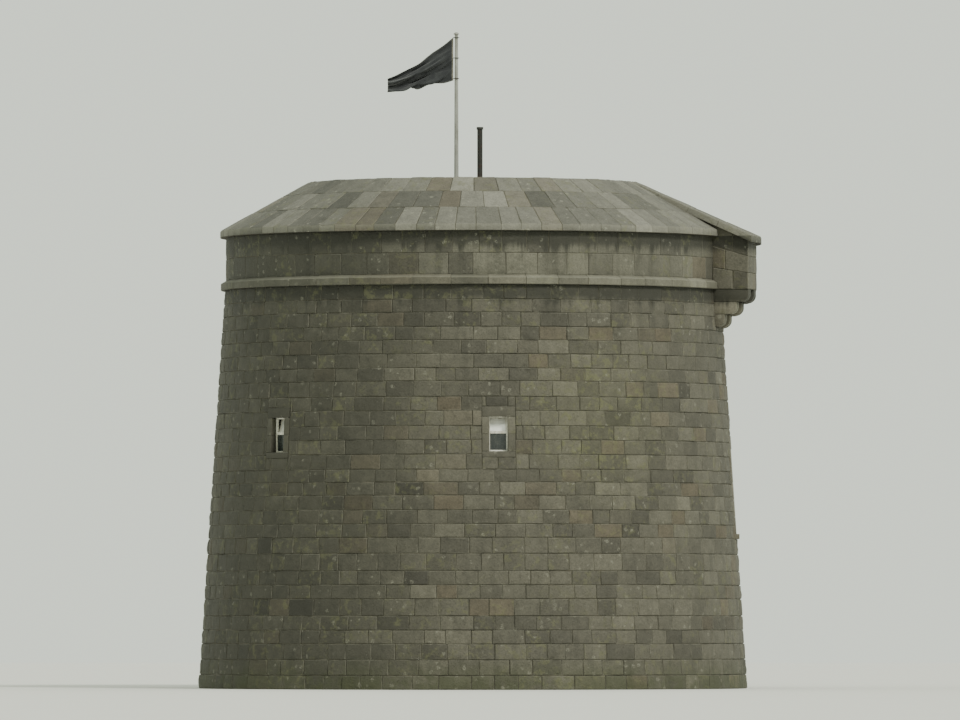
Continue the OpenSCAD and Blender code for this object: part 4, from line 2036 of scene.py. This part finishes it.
@dataclass
class Flag:
    """The flag: a cut sheet that hangs from the hoist in a light wind."""

    palette: Palette
    width: float = 1.05
    length: float = 1.8
    columns: int = 80
    rows: int = 46
    pleats: int = 4
    deepest: float = 0.2
    steps: int = 161
    tries: int = 80
    drop: float = 0.92
    tip_h: float = 0.33
    lull: float = 0.085
    waves: float = 13.5
    phase: float = 0.6
    calm: float = 0.3
    inset: float = 0.02
    frames: int = 36
    loose: int = 11
    pull: tuple[float, float, float] = (-7.0, 0.5, -4.6)
    quality: int = 10
    mass: float = 0.1
    stretch: float = 25
    shear: float = 10
    bending: float = 0.2
    air: float = 4
    thickness: float = 0.006

    def build(self) -> None:
        """Cuts the sheet, lets it hang and finishes it."""
        low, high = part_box("flag")
        flag = self.sheet(low, high)
        self.hang(flag)
        smooth(flag, 80)
        keep(flag, "flag_cloth", self.palette.flag, "flag")

    def sheet(self, low: Vector, high: Vector) -> bpy.types.Object:
        """Cuts the sheet and gathers it towards its fly in soft pleats.

        Args:
            low: The lowest corner of the space that the flag fills.
            high: Its highest corner.

        Returns:
            The sheet, which hangs from the side at the greatest X.
        """
        flag = added(
            bpy.ops.mesh.primitive_grid_add, x_subdivisions=self.columns, y_subdivisions=self.rows,
            size=1,
        )
        flag.name = "flag_sheet"
        flat = corner_points(flag)
        along, down = 0.5 - flat[:, 0], 0.5 - flat[:, 1]
        sag = np.sin(along * math.pi / 2)
        height = self.width + (self.tip_h - self.width) * sag
        fold, level = self.gathered(height, down)
        wave = self.lull * np.sin(along * self.waves + self.phase) * np.sin(along * math.pi)
        x = high.x - along * (high.x - low.x - self.inset)
        z = high.z - self.inset - self.drop * sag - level * height
        y = fold + wave * (self.calm + (1 - self.calm) * down)
        move_points(flag, np.stack([x, y, z], -1))
        mapped = flag.data.uv_layers.active
        mapped.name = "UVMap"
        loops = np.empty(len(flag.data.loops), int)
        flag.data.loops.foreach_get("vertex_index", loops)
        places = np.stack([along[loops], 1 - down[loops]], -1)
        mapped.data.foreach_set("uv", places.astype(np.float32).ravel())
        return flag

    def gathered(self, height: np.ndarray, down: np.ndarray) -> tuple[np.ndarray, np.ndarray]:
        """Gathers each line across the sheet into pleats that keep its length.

        Args:
            height: Height left for each point's line.
            down: Each point's share of the way down its line.

        Returns:
            How far each point stands out, and its share of the height.
        """
        levels = np.linspace(0, 1, self.steps)
        depths = np.linspace(0, self.deepest, self.tries)
        turns = self.pleats * math.pi
        bend = np.cos(turns * levels)
        folds, shares = np.empty_like(down), np.empty_like(down)
        for tall in np.unique(height.round(5)):
            mine = np.abs(height - tall) < 1e-4
            lengths = np.hypot(depths[:, None] * turns * bend, tall).mean(1)
            depth = np.interp(self.width, lengths, depths)
            steps = np.hypot(depth * turns * bend, tall)
            run = np.concatenate([[0], np.cumsum((steps[1:] + steps[:-1]) / 2)])
            shares[mine] = np.interp(down[mine], run / run[-1], levels)
            folds[mine] = depth * np.sin(turns * shares[mine])
        return folds, shares

    def hang(self, flag: bpy.types.Object) -> None:
        """Lets the sheet hang from its hoist and its gathered fly, blown towards -X.

        Args:
            flag: The sheet.
        """
        points = corner_points(flag)
        held = flag.vertex_groups.new(name="held")
        hoist = np.flatnonzero(points[:, 0] > points[:, 0].max() - NEAR)
        fly = np.flatnonzero(points[:, 0] < points[:, 0].min() + NEAR)
        fly = fly[np.argsort(points[fly, 2])][:: len(fly) // (2 * self.pleats)].tolist()
        held.add(hoist.tolist() + fly, 1.0, "REPLACE")
        select_only(flag)
        scene = bpy.context.scene
        usual = tuple(scene.gravity)
        scene.gravity = self.pull
        cloth = flag.modifiers.new("Cloth", "CLOTH")
        for key, value in {
            "quality": self.quality, "mass": self.mass, "tension_stiffness": self.stretch,
            "compression_stiffness": self.stretch, "shear_stiffness": self.shear,
            "bending_stiffness": self.bending, "air_damping": self.air, "vertex_group_mass": "held",
        }.items():
            setattr(cloth.settings, key, value)
        cloth.collision_settings.use_self_collision = True
        cloth.collision_settings.self_distance_min = self.thickness
        for step in range(1, self.frames + self.loose + 1):
            if step == self.frames:
                held.remove(fly)
            scene.frame_set(step)
        bpy.ops.object.modifier_apply(modifier=cloth.name)
        scene.gravity = usual
        scene.frame_set(1)


@dataclass
class Backing:
    """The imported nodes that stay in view, with the finish of each."""

    palette: Palette

    def dress(self) -> None:
        """Puts a finish on every node."""
        looks = self.palette
        finishes = {
            "ground_floor": looks.paving, "first_floor": looks.boards,
            "first_floor_joists": looks.joists, "vault": looks.rubble,
            "machicolation_haunches": looks.rubble, "flagpole": looks.pole,
            "flag_ties": looks.iron,
        }
        for name, node in frame["nodes"].items():
            dress(node, finishes.get(name, looks.mortar))


@dataclass
class Studio:
    """A plain pale floor, soft light, and a camera far off at the height of the foot."""

    palette: Palette
    distance: float = 285.0
    aspect: float = 4 / 3
    eye: float = 1.7
    frame_h: float = 17.4
    floor_r: float = 160.0
    sky: Colour = rgb(216, 223, 209)
    sky_strength: float = 1.5
    sun_colour: tuple[float, float, float] = (1.0, 0.97, 0.92)
    sun_strength: float = 2.6
    sun_size: float = math.radians(12)
    sun_tilt: float = math.radians(48)
    sun_side: float = math.radians(38)

    def build(self) -> None:
        """Adds the floor, the sky, the lamp and the camera."""
        floor = added(
            bpy.ops.mesh.primitive_circle_add, vertices=96, radius=self.floor_r, fill_type="NGON",
            location=(0, 0, -0.002),
        )
        floor.name = "studio_floor"
        dress(floor, self.palette.floor)
        floor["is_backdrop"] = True
        world = bpy.data.worlds.new("studio_sky")
        world.use_nodes = True
        light = world.node_tree.nodes["Background"].inputs
        light["Color"].default_value = self.sky
        light["Strength"].default_value = self.sky_strength
        bpy.context.scene.world = world
        lamp = bpy.data.lights.new("sun", "SUN")
        lamp.energy, lamp.angle, lamp.color = self.sun_strength, self.sun_size, self.sun_colour
        sun = bpy.data.objects.new("sun", lamp)
        sun.rotation_euler = (self.sun_tilt, 0, self.sun_side)
        bpy.context.scene.collection.objects.link(sun)
        self.place_camera()

    def place_camera(self) -> None:
        """Places the camera so that the whole tower fills the picture."""
        low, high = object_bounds()
        centre = (low + high) / 2
        camera = bpy.data.cameras.new("camera")
        camera.sensor_width = 36.0
        camera.lens = camera.sensor_width * self.distance / (self.frame_h * self.aspect)
        camera.clip_start, camera.clip_end = 1.0, 2000.0
        eye = bpy.data.objects.new("camera", camera)
        eye.location = (centre.x, -self.distance, self.eye)
        look = Vector((centre.x, 0, centre.z)) - eye.location
        eye.rotation_euler = look.to_track_quat("-Z", "Y").to_euler()
        bpy.context.scene.collection.objects.link(eye)
        bpy.context.scene.camera = eye


def main() -> None:
    """Builds the tower's looks in order."""
    logging.basicConfig(level=logging.INFO, format="%(message)s")
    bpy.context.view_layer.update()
    tower, palette = Tower.measured(), Palette()
    build_grain()
    build_weather()
    build_wear()
    Backing(palette).dress()
    draws = map(np.random.default_rng, SEEDS)
    for part in (WallFacing, ParapetStones, Machicolation, GunFloor):
        part(tower, palette, Mason(next(draws))).build()
    Openings(palette, next(draws)).build()
    Staffs(palette, next(draws)).build()
    Flag(palette).build()
    Studio(palette).build()


if __name__ == "__main__":
    main()
